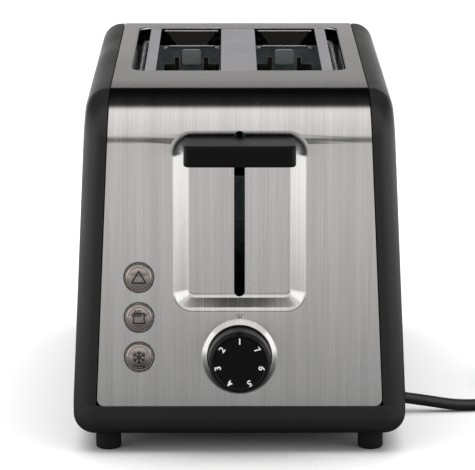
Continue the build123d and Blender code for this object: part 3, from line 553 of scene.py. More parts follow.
def start_finish(name, **constants):
    """A material with its shader and the object's own coordinates."""
    plain = bpy.data.materials.get(name)
    if plain:
        plain.name = f"{name}_packed"
    material = bpy.data.materials.new(name)
    material.use_nodes = True
    tree = material.node_tree
    shader = tree.nodes["Principled BSDF"]
    for key, value in constants.items():
        shader.inputs[key.replace("_", " ")].default_value = value
    place = tree.nodes.new("ShaderNodeTexCoord").outputs["Object"]
    return tree, shader, place


def use_group(tree, name, **inputs):
    """A copy of a shared effect in a material."""
    node = tree.nodes.new("ShaderNodeGroup")
    node.node_tree = bpy.data.node_groups[name]
    for key, value in inputs.items():
        socket = node.inputs[key.replace("_", " ")]
        if isinstance(value, bpy.types.NodeSocket):
            tree.links.new(value, socket)
        else:
            socket.default_value = value
    return node.outputs


def spread(tree, value, low, high, start=0.0, end=1.0):
    """Maps a value onto a range."""
    node = add_node(
        tree, "ShaderNodeMapRange", Value=value, From_Min=start, From_Max=end, To_Min=low, To_Max=high
    )
    return node.outputs[0]


def blend_colours(tree, factor, first, second):
    """Mixes two colours, each a value or a socket."""
    node = tree.nodes.new("ShaderNodeMix")
    node.data_type = "RGBA"
    for index, value in ((0, factor), (6, first), (7, second)):
        if isinstance(value, bpy.types.NodeSocket):
            tree.links.new(value, node.inputs[index])
        elif index:
            node.inputs[index].default_value = (*value, 1.0)
        else:
            node.inputs[index].default_value = value
    return node.outputs[2]


def shaded(colour, factor):
    """A colour made lighter or darker."""
    return tuple(channel * factor for channel in colour)


def feed(shader, **sockets):
    """Joins sockets to the shader's inputs."""
    for key, socket in sockets.items():
        shader.id_data.links.new(socket, shader.inputs[key.replace("_", " ")])


def raise_surface(tree, shader, height, distance, strength=1.0):
    """Feeds a height into the shader's normal."""
    bump = add_node(tree, "ShaderNodeBump", Height=height, Distance=distance, Strength=strength)
    feed(shader, Normal=bump.outputs[0])


def paint_steel(colours):
    tree, shader, place = start_finish("brushed_steel", Metallic=1.0, Anisotropic=0.85)
    tangent = tree.nodes.new("ShaderNodeTangent")
    tangent.direction_type = "UV_MAP"
    tangent.uv_map = "Grain"
    feed(shader, Tangent=tangent.outputs[0])
    grain = use_group(tree, "Brush grain", Vector=place, Lines=(1500.0, 14.0, 14.0), Contrast=1.0)
    marks = use_group(tree, "Moulded mottle", Vector=place, Fine_Scale=900.0, Broad_Scale=16.0)
    brushed = blend_colours(tree, grain["Shade"], shaded(colours.steel, 0.84), shaded(colours.steel, 1.12))
    # painted reflection: the top's front edge is painted darker, standing in for the dark reflection that
    # carries the dark band over the bend
    spot = add_node(tree, "ShaderNodeSeparateXYZ", Vector=place)
    near_front = spread(tree, spot.outputs["Y"], 1.0, 0.0, WRAP_LOW.y + 0.030, WRAP_LOW.y + 0.058)
    on_top = spread(tree, spot.outputs["Z"], 0.0, 1.0, TOP_Z - 0.004, TOP_Z - 0.001)
    # mask of the painted dark reflection along the top's front edge
    painted_dark_reflection = maths(tree, "MULTIPLY", near_front, on_top)
    lines = blend_colours(tree, painted_dark_reflection, brushed, shaded(colours.steel, 0.22))
    hazy = spread(tree, marks["Broad"], 0.0, 0.22, 0.45, 0.7)
    feed(shader, Base_Color=lines)
    rough = maths(tree, "ADD", spread(tree, grain["Shade"], 0.22, 0.28), spread(tree, hazy, 0.0, 0.1))
    feed(shader, Roughness=rough)
    raise_surface(tree, shader, grain["Height"], 0.00002, 0.5)


def paint_plastic(name, colour, rough, fine_scale, height, wear=0.35, dust=0.12, specular=0.5):
    tree, shader, place = start_finish(name, Specular_IOR_Level=specular)
    mottle = use_group(tree, "Moulded mottle", Vector=place, Fine_Scale=fine_scale, Broad_Scale=24.0)
    rubbed = use_group(tree, "Edge wear", Radius=0.0008, Amount=wear)
    settled = use_group(tree, "Settled dust", Vector=place, Amount=dust)
    base = blend_colours(tree, mottle["Broad"], shaded(colour, 0.85), shaded(colour, 1.2))
    worn = blend_colours(tree, rubbed["Mask"], base, shaded(colour, 3.0))
    dusty = blend_colours(tree, settled["Mask"], worn, (0.16, 0.155, 0.15))
    feed(shader, Base_Color=dusty)
    marks = spread(tree, mottle["Broad"], rough - 0.04, rough + 0.06, 0.3, 0.7)
    feed(shader, Roughness=marks)
    raise_surface(tree, shader, mottle["Fine"], height, 0.6)


def paint_metal(name, colour, rough, lines=None, metallic=1.0, contrast=0.12, height=0.00001):
    tree, shader, place = start_finish(name, Metallic=metallic)
    mottle = use_group(tree, "Moulded mottle", Vector=place, Fine_Scale=700.0, Broad_Scale=60.0)
    if lines:
        grain = use_group(tree, "Brush grain", Vector=place, Lines=lines, Contrast=1.0)
        mask, rise = grain["Shade"], grain["Height"]
    else:
        mask, rise = mottle["Fine"], mottle["Fine"]
    tint = blend_colours(tree, mask, shaded(colour, 1 - contrast), shaded(colour, 1 + contrast))
    rubbed = use_group(tree, "Edge wear", Radius=0.0005, Amount=0.5)
    bright = blend_colours(tree, rubbed["Mask"], tint, tuple(min(1.0, channel * 1.5) for channel in colour))
    feed(shader, Base_Color=bright)
    feed(shader, Roughness=spread(tree, mottle["Broad"], rough - 0.05, rough + 0.08, 0.3, 0.7))
    raise_surface(tree, shader, rise, height, 0.5)


def paint_galvanised():
    tree, shader, place = start_finish("galvanised", Metallic=0.85)
    spangle = add_node(tree, "ShaderNodeTexVoronoi", Vector=place, Scale=260.0)
    mottle = use_group(tree, "Moulded mottle", Vector=place, Fine_Scale=600.0, Broad_Scale=40.0)
    tint = blend_colours(tree, spangle.outputs["Color"], (0.11, 0.145, 0.155), (0.19, 0.235, 0.25))
    rubbed = use_group(tree, "Edge wear", Radius=0.0006, Amount=0.8)
    feed(shader, Base_Color=blend_colours(tree, rubbed["Mask"], tint, (0.85, 0.88, 0.9)))
    feed(shader, Roughness=spread(tree, mottle["Broad"], 0.30, 0.46, 0.3, 0.7))
    raise_surface(tree, shader, mottle["Fine"], 0.00001, 0.4)


def paint_mica():
    tree, shader, place = start_finish("mica", Coat_Weight=0.3, Coat_Roughness=0.2)
    flakes = add_node(tree, "ShaderNodeTexVoronoi", Vector=place, Scale=900.0)
    mottle = use_group(tree, "Moulded mottle", Vector=place, Fine_Scale=400.0, Broad_Scale=25.0)
    warm = blend_colours(tree, mottle["Broad"], (0.40, 0.29, 0.16), (0.62, 0.50, 0.32))
    fleck = spread(tree, flakes.outputs["Distance"], 0.35, 0.0, 0.0, 0.6)
    feed(shader, Base_Color=blend_colours(tree, fleck, warm, (0.85, 0.78, 0.62)))
    feed(shader, Roughness=spread(tree, mottle["Fine"], 0.25, 0.45))
    raise_surface(tree, shader, flakes.outputs["Distance"], 0.00002, 0.5)


def paint_smoke(colours):
    tree, shader, place = start_finish("smoked_chrome", Metallic=1.0)
    mottle = use_group(tree, "Moulded mottle", Vector=place, Fine_Scale=300.0, Broad_Scale=160.0)
    tint = blend_colours(tree, mottle["Broad"], shaded(colours.smoke, 0.75), shaded(colours.smoke, 1.35))
    feed(shader, Base_Color=tint)
    feed(shader, Roughness=spread(tree, mottle["Fine"], 0.20, 0.30))
    raise_surface(tree, shader, mottle["Broad"], 0.0003, 0.4)


def paint_board():
    tree, shader, place = start_finish("circuit_board", Coat_Weight=0.4, Coat_Roughness=0.2)
    tracks = add_node(tree, "ShaderNodeTexBrick", Vector=place, Scale=120.0, Mortar_Size=0.03)
    mottle = use_group(tree, "Moulded mottle", Vector=place, Fine_Scale=800.0, Broad_Scale=50.0)
    lacquer = blend_colours(tree, mottle["Broad"], (0.02, 0.12, 0.05), (0.03, 0.18, 0.07))
    traced = blend_colours(tree, tracks.outputs["Fac"], lacquer, (0.06, 0.30, 0.12))
    feed(shader, Base_Color=traced)
    feed(shader, Roughness=spread(tree, mottle["Fine"], 0.3, 0.45))
    raise_surface(tree, shader, tracks.outputs["Fac"], 0.00005, 0.4)


def paint_ink(name, colour, rough=0.5):
    tree, shader, place = start_finish(name)
    mottle = use_group(tree, "Moulded mottle", Vector=place, Fine_Scale=2500.0, Broad_Scale=200.0)
    printed = blend_colours(tree, mottle["Broad"], shaded(colour, 0.88), shaded(colour, 1.05))
    feed(shader, Base_Color=printed)
    feed(shader, Roughness=spread(tree, mottle["Fine"], rough - 0.08, rough + 0.08))


def paint_floor(colours):
    tree, shader, place = start_finish("pale_floor", Specular_IOR_Level=0.2)
    mottle = use_group(tree, "Moulded mottle", Vector=place, Fine_Scale=900.0, Broad_Scale=3.0)
    pale = blend_colours(tree, mottle["Broad"], shaded(colours.floor, 0.99), shaded(colours.floor, 1.01))
    # painted shade: in reflections the floor's colour is painted near black
    seen = tree.nodes.new("ShaderNodeLightPath")
    mirrored_share = seen.outputs["Is Glossy Ray"]
    feed(shader, Base_Color=blend_colours(tree, mirrored_share, pale, (0.01, 0.01, 0.01)))
    # painted light: in reflections the floor is an emitting sheet that glows brighter away from the toaster
    # and to the sides, with painted shade close to the toaster
    away = add_node(tree, "ShaderNodeVectorMath", {"operation": "LENGTH"}, i0=place).outputs["Value"]
    far = spread(tree, away, 0.0, 1.0, 0.3, 1.2)
    glow = blend_colours(tree, far, (0.50, 0.50, 0.50), (0.90, 0.895, 0.89))
    near = spread(tree, away, 0.0, 1.0, 0.14, 0.3)
    across = add_node(tree, "ShaderNodeSeparateXYZ", Vector=place).outputs["X"]
    aside = maths(tree, "ABSOLUTE", across)
    bright = blend_colours(tree, spread(tree, aside, 0.0, 1.0, 0.45, 0.9), glow, (1.6, 1.6, 1.6))
    lit = blend_colours(tree, near, (0.0, 0.0, 0.0), bright)
    feed(shader, Emission_Color=blend_colours(tree, mirrored_share, (0.0, 0.0, 0.0), lit))
    shader.inputs["Emission Strength"].default_value = 1.0
    feed(shader, Roughness=spread(tree, mottle["Fine"], 0.6, 0.7))


class TOASTER_OT_finishes(bpy.types.Operator):
    """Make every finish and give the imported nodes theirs"""

    bl_idname = "toaster.finishes"
    bl_label = "Finishes"

    def execute(self, context):
        colours = context.scene.toaster_colours
        for make in (grain_group, mottle_group, wear_group, dust_group):
            make()
        paint_steel(colours)
        paint_plastic("side_plastic", colours.side, 0.33, 1400.0, 0.00002, wear=0.2, dust=0.03, specular=0.22)
        paint_plastic("base_plastic", colours.base, 0.48, 1200.0, 0.00004, wear=0.2, dust=0.06, specular=0.3)
        paint_plastic("control_plastic", (0.002, 0.002, 0.0023), 0.32, 1800.0, 0.00002, 0.2, 0.02, 0.09)
        rubber = (0.006, 0.006, 0.006)
        paint_plastic("rubber_foot", rubber, 0.7, 900.0, 0.00005, wear=0.2, dust=0.1, specular=0.2)
        paint_plastic("cord_sheath", (0.011, 0.011, 0.012), 0.42, 1000.0, 0.00002, wear=0.1, dust=0.05)
        paint_plastic("nylon", (0.55, 0.54, 0.50), 0.45, 900.0, 0.00002, wear=0.1)
        paint_plastic("board_part", (0.025, 0.027, 0.03), 0.4, 900.0, 0.00002)
        paint_smoke(colours)
        paint_galvanised()
        paint_metal("aluminised", (0.52, 0.51, 0.53), 0.5, metallic=0.75)
        paint_metal("flap_steel", (0.11, 0.11, 0.11), 0.32, metallic=0.9)
        paint_metal("rolled_edge", (0.80, 0.80, 0.79), 0.25)
        paint_metal("pad_steel", (0.30, 0.36, 0.36), 0.4, metallic=0.7)
        paint_metal("spring_steel", (0.60, 0.59, 0.57), 0.26, lines=(400.0, 40.0, 400.0))
        paint_metal("nichrome", (0.30, 0.27, 0.25), 0.4, lines=(400.0, 60.0, 900.0))
        copper, wound = (0.62, 0.28, 0.13), (30.0, 30.0, 2600.0)
        paint_metal("copper_coil", copper, 0.3, lines=wound, contrast=0.3, height=0.0002)
        paint_metal("zinc_screw", (0.55, 0.56, 0.58), 0.3)
        paint_metal("plug_brass", (0.70, 0.55, 0.28), 0.25, lines=(900.0, 60.0, 900.0))
        paint_mica()
        paint_board()
        paint_ink("white_ink", (0.80, 0.80, 0.80))
        paint_ink("dark_ink", (0.004, 0.004, 0.004))
        paint_floor(colours)
        for node, piece in frame["nodes"].items():
            piece.data.materials.clear()
            finish = "rolled_edge" if node == "tie_rods" else NODE_FINISH[node]
            piece.data.materials.append(bpy.data.materials[finish])
        return {"FINISHED"}


# ------------------------------------------------------------------ stage, light and camera


def panel_light(name, place, aim, size, power, colour=(1, 1, 1), glossy=True):
    """A soft rectangular light that points at a spot."""
    bare()
    bpy.ops.object.light_add(type="AREA", location=place)
    lamp = named(name)
    lamp.data.shape = "RECTANGLE"
    lamp.data.size, lamp.data.size_y = size
    lamp.data.energy = power
    lamp.data.color = colour
    lamp.visible_camera = False
    lamp.visible_glossy = glossy
    lamp.rotation_euler = (Vector(aim) - Vector(place)).to_track_quat("-Z", "Y").to_euler()
    return lamp


# brightness round a studio, from the front horizon over the top to the back horizon
STUDIO_SKY = (
    (0.00, 0.10),
    (0.05, 0.14),
    (0.09, 1.15),
    (0.44, 1.60),
    (0.48, 0.03),
    (0.935, 0.01),
    (0.945, 0.60),
    (1.00, 0.62),
)


def paint_sky():
    """Soft studio surroundings: bright in front and above, dark overhead, grey behind."""
    world = bpy.data.worlds.new("studio")
    bpy.context.scene.world = world
    world.use_nodes = True
    tree = world.node_tree
    outward = tree.nodes.new("ShaderNodeTexCoord").outputs["Generated"]
    ray = add_node(tree, "ShaderNodeSeparateXYZ", Vector=outward)
    ahead = maths(tree, "MULTIPLY", ray.outputs["Y"], -1.0)
    swing = maths(tree, "ARCTAN2", ray.outputs["Z"], ahead)
    ramp = tree.nodes.new("ShaderNodeValToRGB")
    tree.links.new(spread(tree, swing, 0.0, 1.0, 0.0, pi), ramp.inputs[0])
    steps = ramp.color_ramp.elements
    for spot, _ in STUDIO_SKY[1:-1]:
        steps.new(spot)
    for step, (_, level) in zip(steps, STUDIO_SKY):
        step.color = (level / 2, level / 2 * 0.99, level / 2 * 0.975, 1.0)
    sideways = maths(tree, "ABSOLUTE", ray.outputs["X"])
    low_down = spread(tree, ray.outputs["Z"], 1.0, 0.0, 0.1, 0.45)
    share = maths(tree, "MULTIPLY", spread(tree, sideways, 0.0, 0.95, 0.6, 1.0), low_down)
    colour = blend_colours(tree, share, ramp.outputs[0], (0.80, 0.80, 0.80))
    lit = tree.nodes.new("ShaderNodeLightPath")
    seen = blend_colours(tree, lit.outputs["Is Camera Ray"], colour, (0.5, 0.5, 0.5))
    tree.links.new(seen, tree.nodes["Background"].inputs["Color"])
    strength = spread(tree, lit.outputs["Is Diffuse Ray"], 2.0, 0.5)
    tree.links.new(strength, tree.nodes["Background"].inputs["Strength"])


class TOASTER_OT_stage(bpy.types.Operator):
    """Lay the floor, light the studio and set up the camera"""

    bl_idname = "toaster.stage"
    bl_label = "Stage"

    def execute(self, context):
        bare()
        bpy.ops.mesh.primitive_plane_add(size=16)
        floor = named("floor")
        floor.data.materials.append(bpy.data.materials["pale_floor"])
        paint_sky()
        panel_light("left_softbox", (-0.60, -0.35, 0.24), (0, -0.35, 0.24), (1.1, 0.46), 1.5)
        panel_light("right_softbox", (0.60, -0.35, 0.24), (0, -0.35, 0.24), (1.1, 0.46), 1.5)
        panel_light("overhead_wash", (0, 0.6, 2.2), (0, 0.6, 0), (3.4, 3.6), 110, glossy=False)
        bpy.ops.object.camera_add(
            location=(-0.005753, -1.557589, 0.421506), rotation=(pi / 2 - radians(12.329), 0, -radians(0.191))
        )
        camera = named("camera")
        camera.data.lens = 227.54
        camera.data.sensor_width = 36.0
        context.scene.camera = camera
        context.scene.view_settings.view_transform = "Standard"
        return {"FINISHED"}


# ------------------------------------------------------------------ mains cord


def cord_points(housing, cord):
    """The cord's route: off the strain relief, along the table, round the coil and to the plug."""
    front = front_y(housing)
    radius = cord.diameter / 2
    run = [
        (CORD_TIP[0], CORD_DEPTH, CORD_TIP[1]),
        (0.0960, 0.0797, 0.0059),
        (0.1120, 0.0795, 0.0032),
        (0.1280, 0.0816, 0.0030),
        (0.1440, 0.0855, 0.0030),
        (0.1600, 0.0888, 0.0030),
    ]
    points = [Vector((x, front + depth, z)) for x, depth, z in run]
    middle = Vector((cord.coil_x, front + cord.coil_depth, 0))
    per_turn = 16
    count = round(cord.coil_turns * per_turn)
    for i in range(count + 1):
        share = i / count
        angle = -pi / 2 + share * cord.coil_turns * 2 * pi
        inward = 1 - abs(2 * share - 1)
        reach = cord.coil_radius - cord.diameter * cord.coil_turns / 2 * inward
        rise = min(1.0, max(0.0, (share - 0.46) / 0.08))
        height = radius + cord.diameter * rise
        points.append(middle + Vector((reach * cos(angle), reach * sin(angle), height)))
    tail = [(0.0004, 0.143, 0.0089), (-0.0001, 0.157, 0.0081), (0.0, 0.170, 0.0075)]
    tail_x = cord.coil_x + cord.coil_radius
    return points + [Vector((tail_x + x, front + depth, z)) for x, depth, z in tail]


class TOASTER_OT_mains_cord(bpy.types.Operator):
    """Lay the mains cord with its ribbed strain relief, its coil and its plug"""

    bl_idname = "toaster.mains_cord"
    bl_label = "Mains cord"

    def execute(self, context):
        housing, sizes = context.scene.toaster_housing, context.scene.toaster_cord
        route = cord_points(housing, sizes)
        line = bpy.data.curves.new("mains_cord", "CURVE")
        line.dimensions = "3D"
        spline = line.splines.new("NURBS")
        spline.points.add(len(route) - 1)
        for point, spot in zip(spline.points, route):
            point.co = (*spot, 1.0)
        spline.order_u = 3
        spline.use_endpoint_u = True
        spline.resolution_u = 6
        line.bevel_depth = sizes.diameter / 2
        line.bevel_resolution = 4
        line.use_fill_caps = True
        flex = bpy.data.objects.new("mains_cord", line)
        context.scene.collection.objects.link(flex)
        hand_over(flex, "housing", "cord_sheath", "cord_tube", "cord_coil", "cord_tail")
        relief = strain_relief(housing)
        plug = plug_body()
        return {"FINISHED"}


def strain_relief(housing):
    """Tapered, ribbed sleeve with its gland in the base."""
    low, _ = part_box("strain_relief")
    tilt = radians(8)
    tip = Vector((CORD_TIP[0], front_y(housing) + CORD_DEPTH, CORD_TIP[1]))
    long = (tip.x - 0.046) / cos(tilt)
    profile = [(0.0, 0.0013), (0.0046, 0.0013), (0.0050, 0.0020), (0.0050, 0.0070)]
    ribs = 8
    for i in range(ribs):
        start = 0.0078 + i * (long - 0.0090) / ribs
        fat = 0.0049 - 0.0013 * i / ribs
        pitch = (long - 0.0090) / ribs
        profile += [(fat, start), (fat, start + pitch * 0.55), (fat - 0.0007, start + pitch * 0.62)]
        profile += [(fat - 0.0007, start + pitch * 0.93)]
    profile += [(0.0036, long - 0.0008), (0.0034, long), (0.0, long)]
    sleeve = lathe("strain_relief_sleeve", profile, 32)
    lie = Matrix.Rotation(pi / 2 + tilt, 4, "Y")
    root = tip - Vector((cos(tilt), 0, -sin(tilt))) * long
    settle(sleeve, Matrix.Translation(root) @ lie)
    gland_high = (low.x + 0.0022, low.y + 0.013, low.z + 0.008)
    gland = rounded_block("gland", (low.x, low.y + 0.001, low.z), gland_high, 0.0004, 2)
    middle = root.z - 0.0003
    neck = drum("neck", 0.0037, 0, 0.0046, 32)
    settle(neck, Matrix.Translation((low.x + 0.0020, tip.y, middle)) @ Matrix.Rotation(pi / 2, 4, "Y"))
    gather(sleeve, gland, neck)
    smooth(sleeve)
    return hand_over(sleeve, "housing", "cord_sheath", "strain_relief")


def plug_body():
    """Moulded plug with a ribbed neck and finger grips."""
    piece = refined("plug_body", "moulded_plug")
    smooth(piece, 40)
    low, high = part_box("plug_body")
    middle = (low + high) / 2
    for side in (-1, 1):
        for i in range(4):
            y = high.y - 0.004 - i * 0.0028
            groove = block(
                "groove",
                (middle.x + side * 0.0118, y - 0.0005, low.z + 0.003),
                (middle.x + side * 0.0130, y + 0.0005, high.z - 0.003),
            )
            cut(piece, groove)
    return hand_over(piece, "housing", "cord_sheath", "plug_body")


# ------------------------------------------------------------------ housing


def arch(name, housing, half, inset, open_sides):
    """The housing's side view as one bent shape: front, top and rear."""
    shift = inset / cos(housing.rake)
    low_y, high_y, high_z = front_y(housing) + shift, REAR_Y - shift, TOP_Z - inset
    piece = block(name, (-half, low_y, SEAM_Z), (half, high_y, high_z))
    edit(piece)
    if open_sides:
        pick("FACE", lambda middle, normal: abs(normal.x) > 0.9 or normal.z < -0.9)
        bpy.ops.mesh.delete(type="FACE")
    pick("VERT", lambda spot, normal: spot.z > high_z - TINY)
    long = (high_y - low_y) / 2
    lean = (high_z - SEAM_Z) * tan(housing.rake)
    bpy.ops.transform.resize(
        value=(1, (long - lean) / long, 1), center_override=(0, (low_y + high_y) / 2, high_z)
    )
    pick("EDGE", lambda middle, along: middle.z > high_z - TINY and abs(along.x) > 0.9)
    round_edges((housing.bend - inset) * tan((pi / 2 - housing.rake) / 2), 14)
    bare()
    return piece


def trim(piece, half_seam, half_top, side, keep_inside=True, fill=False):
    """Cuts a piece along a side plane that leans in towards the top."""
    edit(piece)
    normal = Vector((side * (TOP_Z - SEAM_Z), 0, half_seam - half_top)).normalized()
    bpy.ops.mesh.bisect(
        plane_co=(side * half_seam, 0, SEAM_Z),
        plane_no=normal,
        clear_outer=keep_inside,
        clear_inner=not keep_inside,
        use_fill=fill,
        threshold=0.000001,
    )
    bare()


def steel_shell(housing):
    """The bent sheet before its openings."""
    wrap = arch("steel_wrap_skin", housing, housing.wrap_half_seam + 0.01, 0, True)
    for side in (-1, 1):
        trim(wrap, housing.wrap_half_seam, housing.wrap_half_top, side)
    edit(wrap)
    pick("VERT", lambda spot, normal: spot.z < SEAM_Z + TINY)
    round_edges(0.0035, 5, "VERTICES")
    bare()
    modify(wrap, "SOLIDIFY", thickness=housing.sheet, offset=-1)
    return wrap


def pressed_pan(housing, controls):
    """The lever's pan: a rounded outline stepped inwards along its rim fillet, wall and floor fillet."""
    slope = atan(controls.pan_depth / controls.pan_wall)
    fillet = controls.pan_fillet
    flare = fillet * tan(slope / 2)
    low, high = up_panel(housing, controls.pan_low), up_panel(housing, controls.pan_high)
    flange = 0.001
    reach = flare + flange
    pan = rounded_plate(
        "lever_pan", controls.pan_half + reach, (high - low) / 2 + reach, controls.pan_corner + reach, 14
    )
    edit(pan)
    bpy.ops.mesh.select_mode(type="FACE")
    bpy.ops.mesh.select_all(action="SELECT")
    bpy.ops.mesh.inset(thickness=flange, depth=0)
    steps = 6
    angles = [slope * i / steps for i in range(steps + 1)]
    turns = [(fillet * (sin(b) - sin(a)), fillet * (cos(a) - cos(b))) for a, b in zip(angles, angles[1:])]
    wall_drop = controls.pan_depth - 2 * fillet * (1 - cos(slope))
    for inward, drop in turns + [(wall_drop / tan(slope), wall_drop)] + turns[::-1]:
        bpy.ops.mesh.inset(thickness=inward, depth=-drop)
    # the side walls slope more gently than the top and bottom ones
    narrower = 0.962
    pick("VERT", lambda spot, normal: spot.z < -controls.pan_depth * 0.6)
    bpy.ops.transform.resize(value=(narrower, 1, 1), center_override=(0, 0, 0))
    bare()
    modify(pan, "SOLIDIFY", thickness=housing.sheet, offset=-1)
    return settle(pan, panel_place(housing) @ Matrix.Translation((0, (low + high) / 2, 0)))


def knob_collar(housing, controls):
    """Raised ring with its sunk floor round the knob."""
    outer, bore = controls.collar_radius, controls.collar_bore
    rim = controls.collar_rise
    profile = [(outer + 0.0008, 0), (outer + 0.0003, 0.00008), (outer - 0.0001, 0.0003)]
    profile += [(bore + 0.0009, rim - 0.00015), (bore + 0.0005, rim)]
    profile += arc((bore + 0.0005, rim - 0.0005), 0.0005, radians(90), radians(180), 4)
    profile += [(bore, -0.0015), (0.0042, -0.0015), (0.0042, -0.0025), (bore + 0.001, -0.0025)]
    profile += [(bore + 0.001, -housing.sheet), (outer + 0.0008, -housing.sheet), (outer + 0.0008, 0)]
    ring = lathe("knob_collar", profile, 96)
    return settle(ring, on_panel(housing, 0, controls.knob_z))


def slot_cutter(housing, controls):
    """Round-ended cutter for the lever's slot."""
    low, high = up_panel(housing, controls.lever_slot_low), up_panel(housing, controls.lever_slot_high)
    half = controls.lever_slot / 2
    cutter = rounded_block("slot_cutter", (-half, low, -0.02), (half, high, 0.004), half - TINY, 10)
    return settle(cutter, panel_place(housing))


class TOASTER_OT_steel_wrap(bpy.types.Operator):
    """Bend the steel sheet and cut its openings, lever pan, knob collar and button holes"""

    bl_idname = "toaster.steel_wrap"
    bl_label = "Steel wrap"

    def execute(self, context):
        housing, controls = context.scene.toaster_housing, context.scene.toaster_controls
        front = front_y(housing)
        wrap = steel_shell(housing)
        half, corner = housing.opening_half, housing.opening_corner
        low = Vector((-half, front + housing.opening_front, TOP_Z - 0.006))
        high = Vector((half, front + housing.opening_rear, TOP_Z + 0.006))
        cut(wrap, rounded_block("opening_cutter", low, high, corner, 10))
        edit(wrap)
        pick(
            "EDGE",
            lambda middle, along: abs(middle.z - TOP_Z) < TINY
            and low.x - TINY < middle.x < high.x + TINY
            and low.y - TINY < middle.y < high.y + TINY
            and (
                abs(middle.x) > half - corner * 0.99
                or min(middle.y - low.y, high.y - middle.y) < TINY
            ),
        )
        round_edges(0.0007, 4)
        bare()

        # openings for the pan, the collar, the buttons, the dimple and the slot
        reach = controls.pan_fillet * tan(atan(controls.pan_depth / controls.pan_wall) / 2) + 0.001
        low_v, high_v = up_panel(housing, controls.pan_low), up_panel(housing, controls.pan_high)
        half = controls.pan_half + reach
        start, end = (-half, low_v - reach, -0.004), (half, high_v + reach, 0.004)
        outline = rounded_block("pan_cutter", start, end, controls.pan_corner + reach, 14)
        cut(wrap, settle(outline, panel_place(housing)))
        ring = drum("collar_cutter", controls.collar_radius + 0.0008, -0.004, 0.004, 96)
        cut(wrap, settle(ring, on_panel(housing, 0, controls.knob_z)))
        for height in controls.button_zs:
            hole = drum("hole_cutter", controls.button_hole + 0.0007, -0.004, 0.004, 48)
            cut(wrap, settle(hole, on_panel(housing, controls.button_x, height)))
        dimple = lathe("dimple_cutter", [(0, -0.0012), (0.0009, -0.0008), (0.0016, 0.0001), (0, 0.0006)], 24)
        cut(wrap, settle(dimple, on_panel(housing, 0, 0.0704)))
        cut(wrap, slot_cutter(housing, controls))
        pan = pressed_pan(housing, controls)
        cut(pan, slot_cutter(housing, controls))
        collar = knob_collar(housing, controls)
        rims = []
        chamfer = [(0.0079, 0.00004), (0.0076, 0.0), (0.0070, -0.0006), (0.0070, -0.0012)]
        for height in controls.button_zs:
            lip = lathe("button_rim", chamfer, 48)
            rims.append(settle(lip, on_panel(housing, controls.button_x, height)))
        gather(wrap, pan, collar, *rims)
        lay_grain(wrap)
        smooth(wrap, 20)
        hand_over(wrap, "housing", "brushed_steel", "steel_wrap")
        return {"FINISHED"}


def lay_grain(piece):
    """A UV map that runs across the sheet, so that the finish knows its brushing direction."""
    layer = piece.data.uv_layers.new(name="Grain") if not piece.data.uv_layers else piece.data.uv_layers[0]
    layer.name = "Grain"
    for face in piece.data.polygons:
        for loop in face.loop_indices:
            spot = piece.data.vertices[piece.data.loops[loop].vertex_index].co
            layer.data[loop].uv = (spot.x, spot.z - spot.y if face.center.y < 0 else spot.z + spot.y)


class TOASTER_OT_side_panels(bpy.types.Operator):
    """Mould the two plastic sides"""

    bl_idname = "toaster.side_panels"
    bl_label = "Side panels"

    def execute(self, context):
        housing = context.scene.toaster_housing
        right = arch("side_panel_right_skin", housing, housing.side_half_seam + 0.01, 0.0002, False)
        trim(right, housing.side_half_seam, housing.side_half_top, 1, True, True)
        inner_seam, inner_top = housing.wrap_half_seam + housing.gap, housing.wrap_half_top + housing.gap
        trim(right, inner_seam, inner_top, 1, False, True)
        edit(right)
        lean = (housing.side_half_seam - housing.side_half_top) / (TOP_Z - SEAM_Z)

        def outside(spot):
            return housing.side_half_seam - lean * (spot.z - SEAM_Z) - spot.x < 0.0001

        pick("EDGE", lambda middle, along: outside(middle) and middle.z > SEAM_Z + 0.001)
        round_edges(housing.side_edge, 10)
        pick(
            "EDGE",
            lambda middle, along: middle.z > SEAM_Z + 0.001
            and abs(inner_seam - lean_of(housing) * (middle.z - SEAM_Z) - middle.x) < 0.0001,
        )
        round_edges(0.0003, 2)
        bare()
        left = mirrored(right, "side_panel_left_skin")
        for piece, side in ((right, "right"), (left, "left")):
            smooth(piece, 32)
            hand_over(piece, "housing", "side_plastic", f"side_panel_{side}")
        return {"FINISHED"}


def lean_of(housing):
    """How far the steel's side leans in for each metre up."""
    return (housing.wrap_half_seam - housing.wrap_half_top) / (TOP_Z - SEAM_Z)


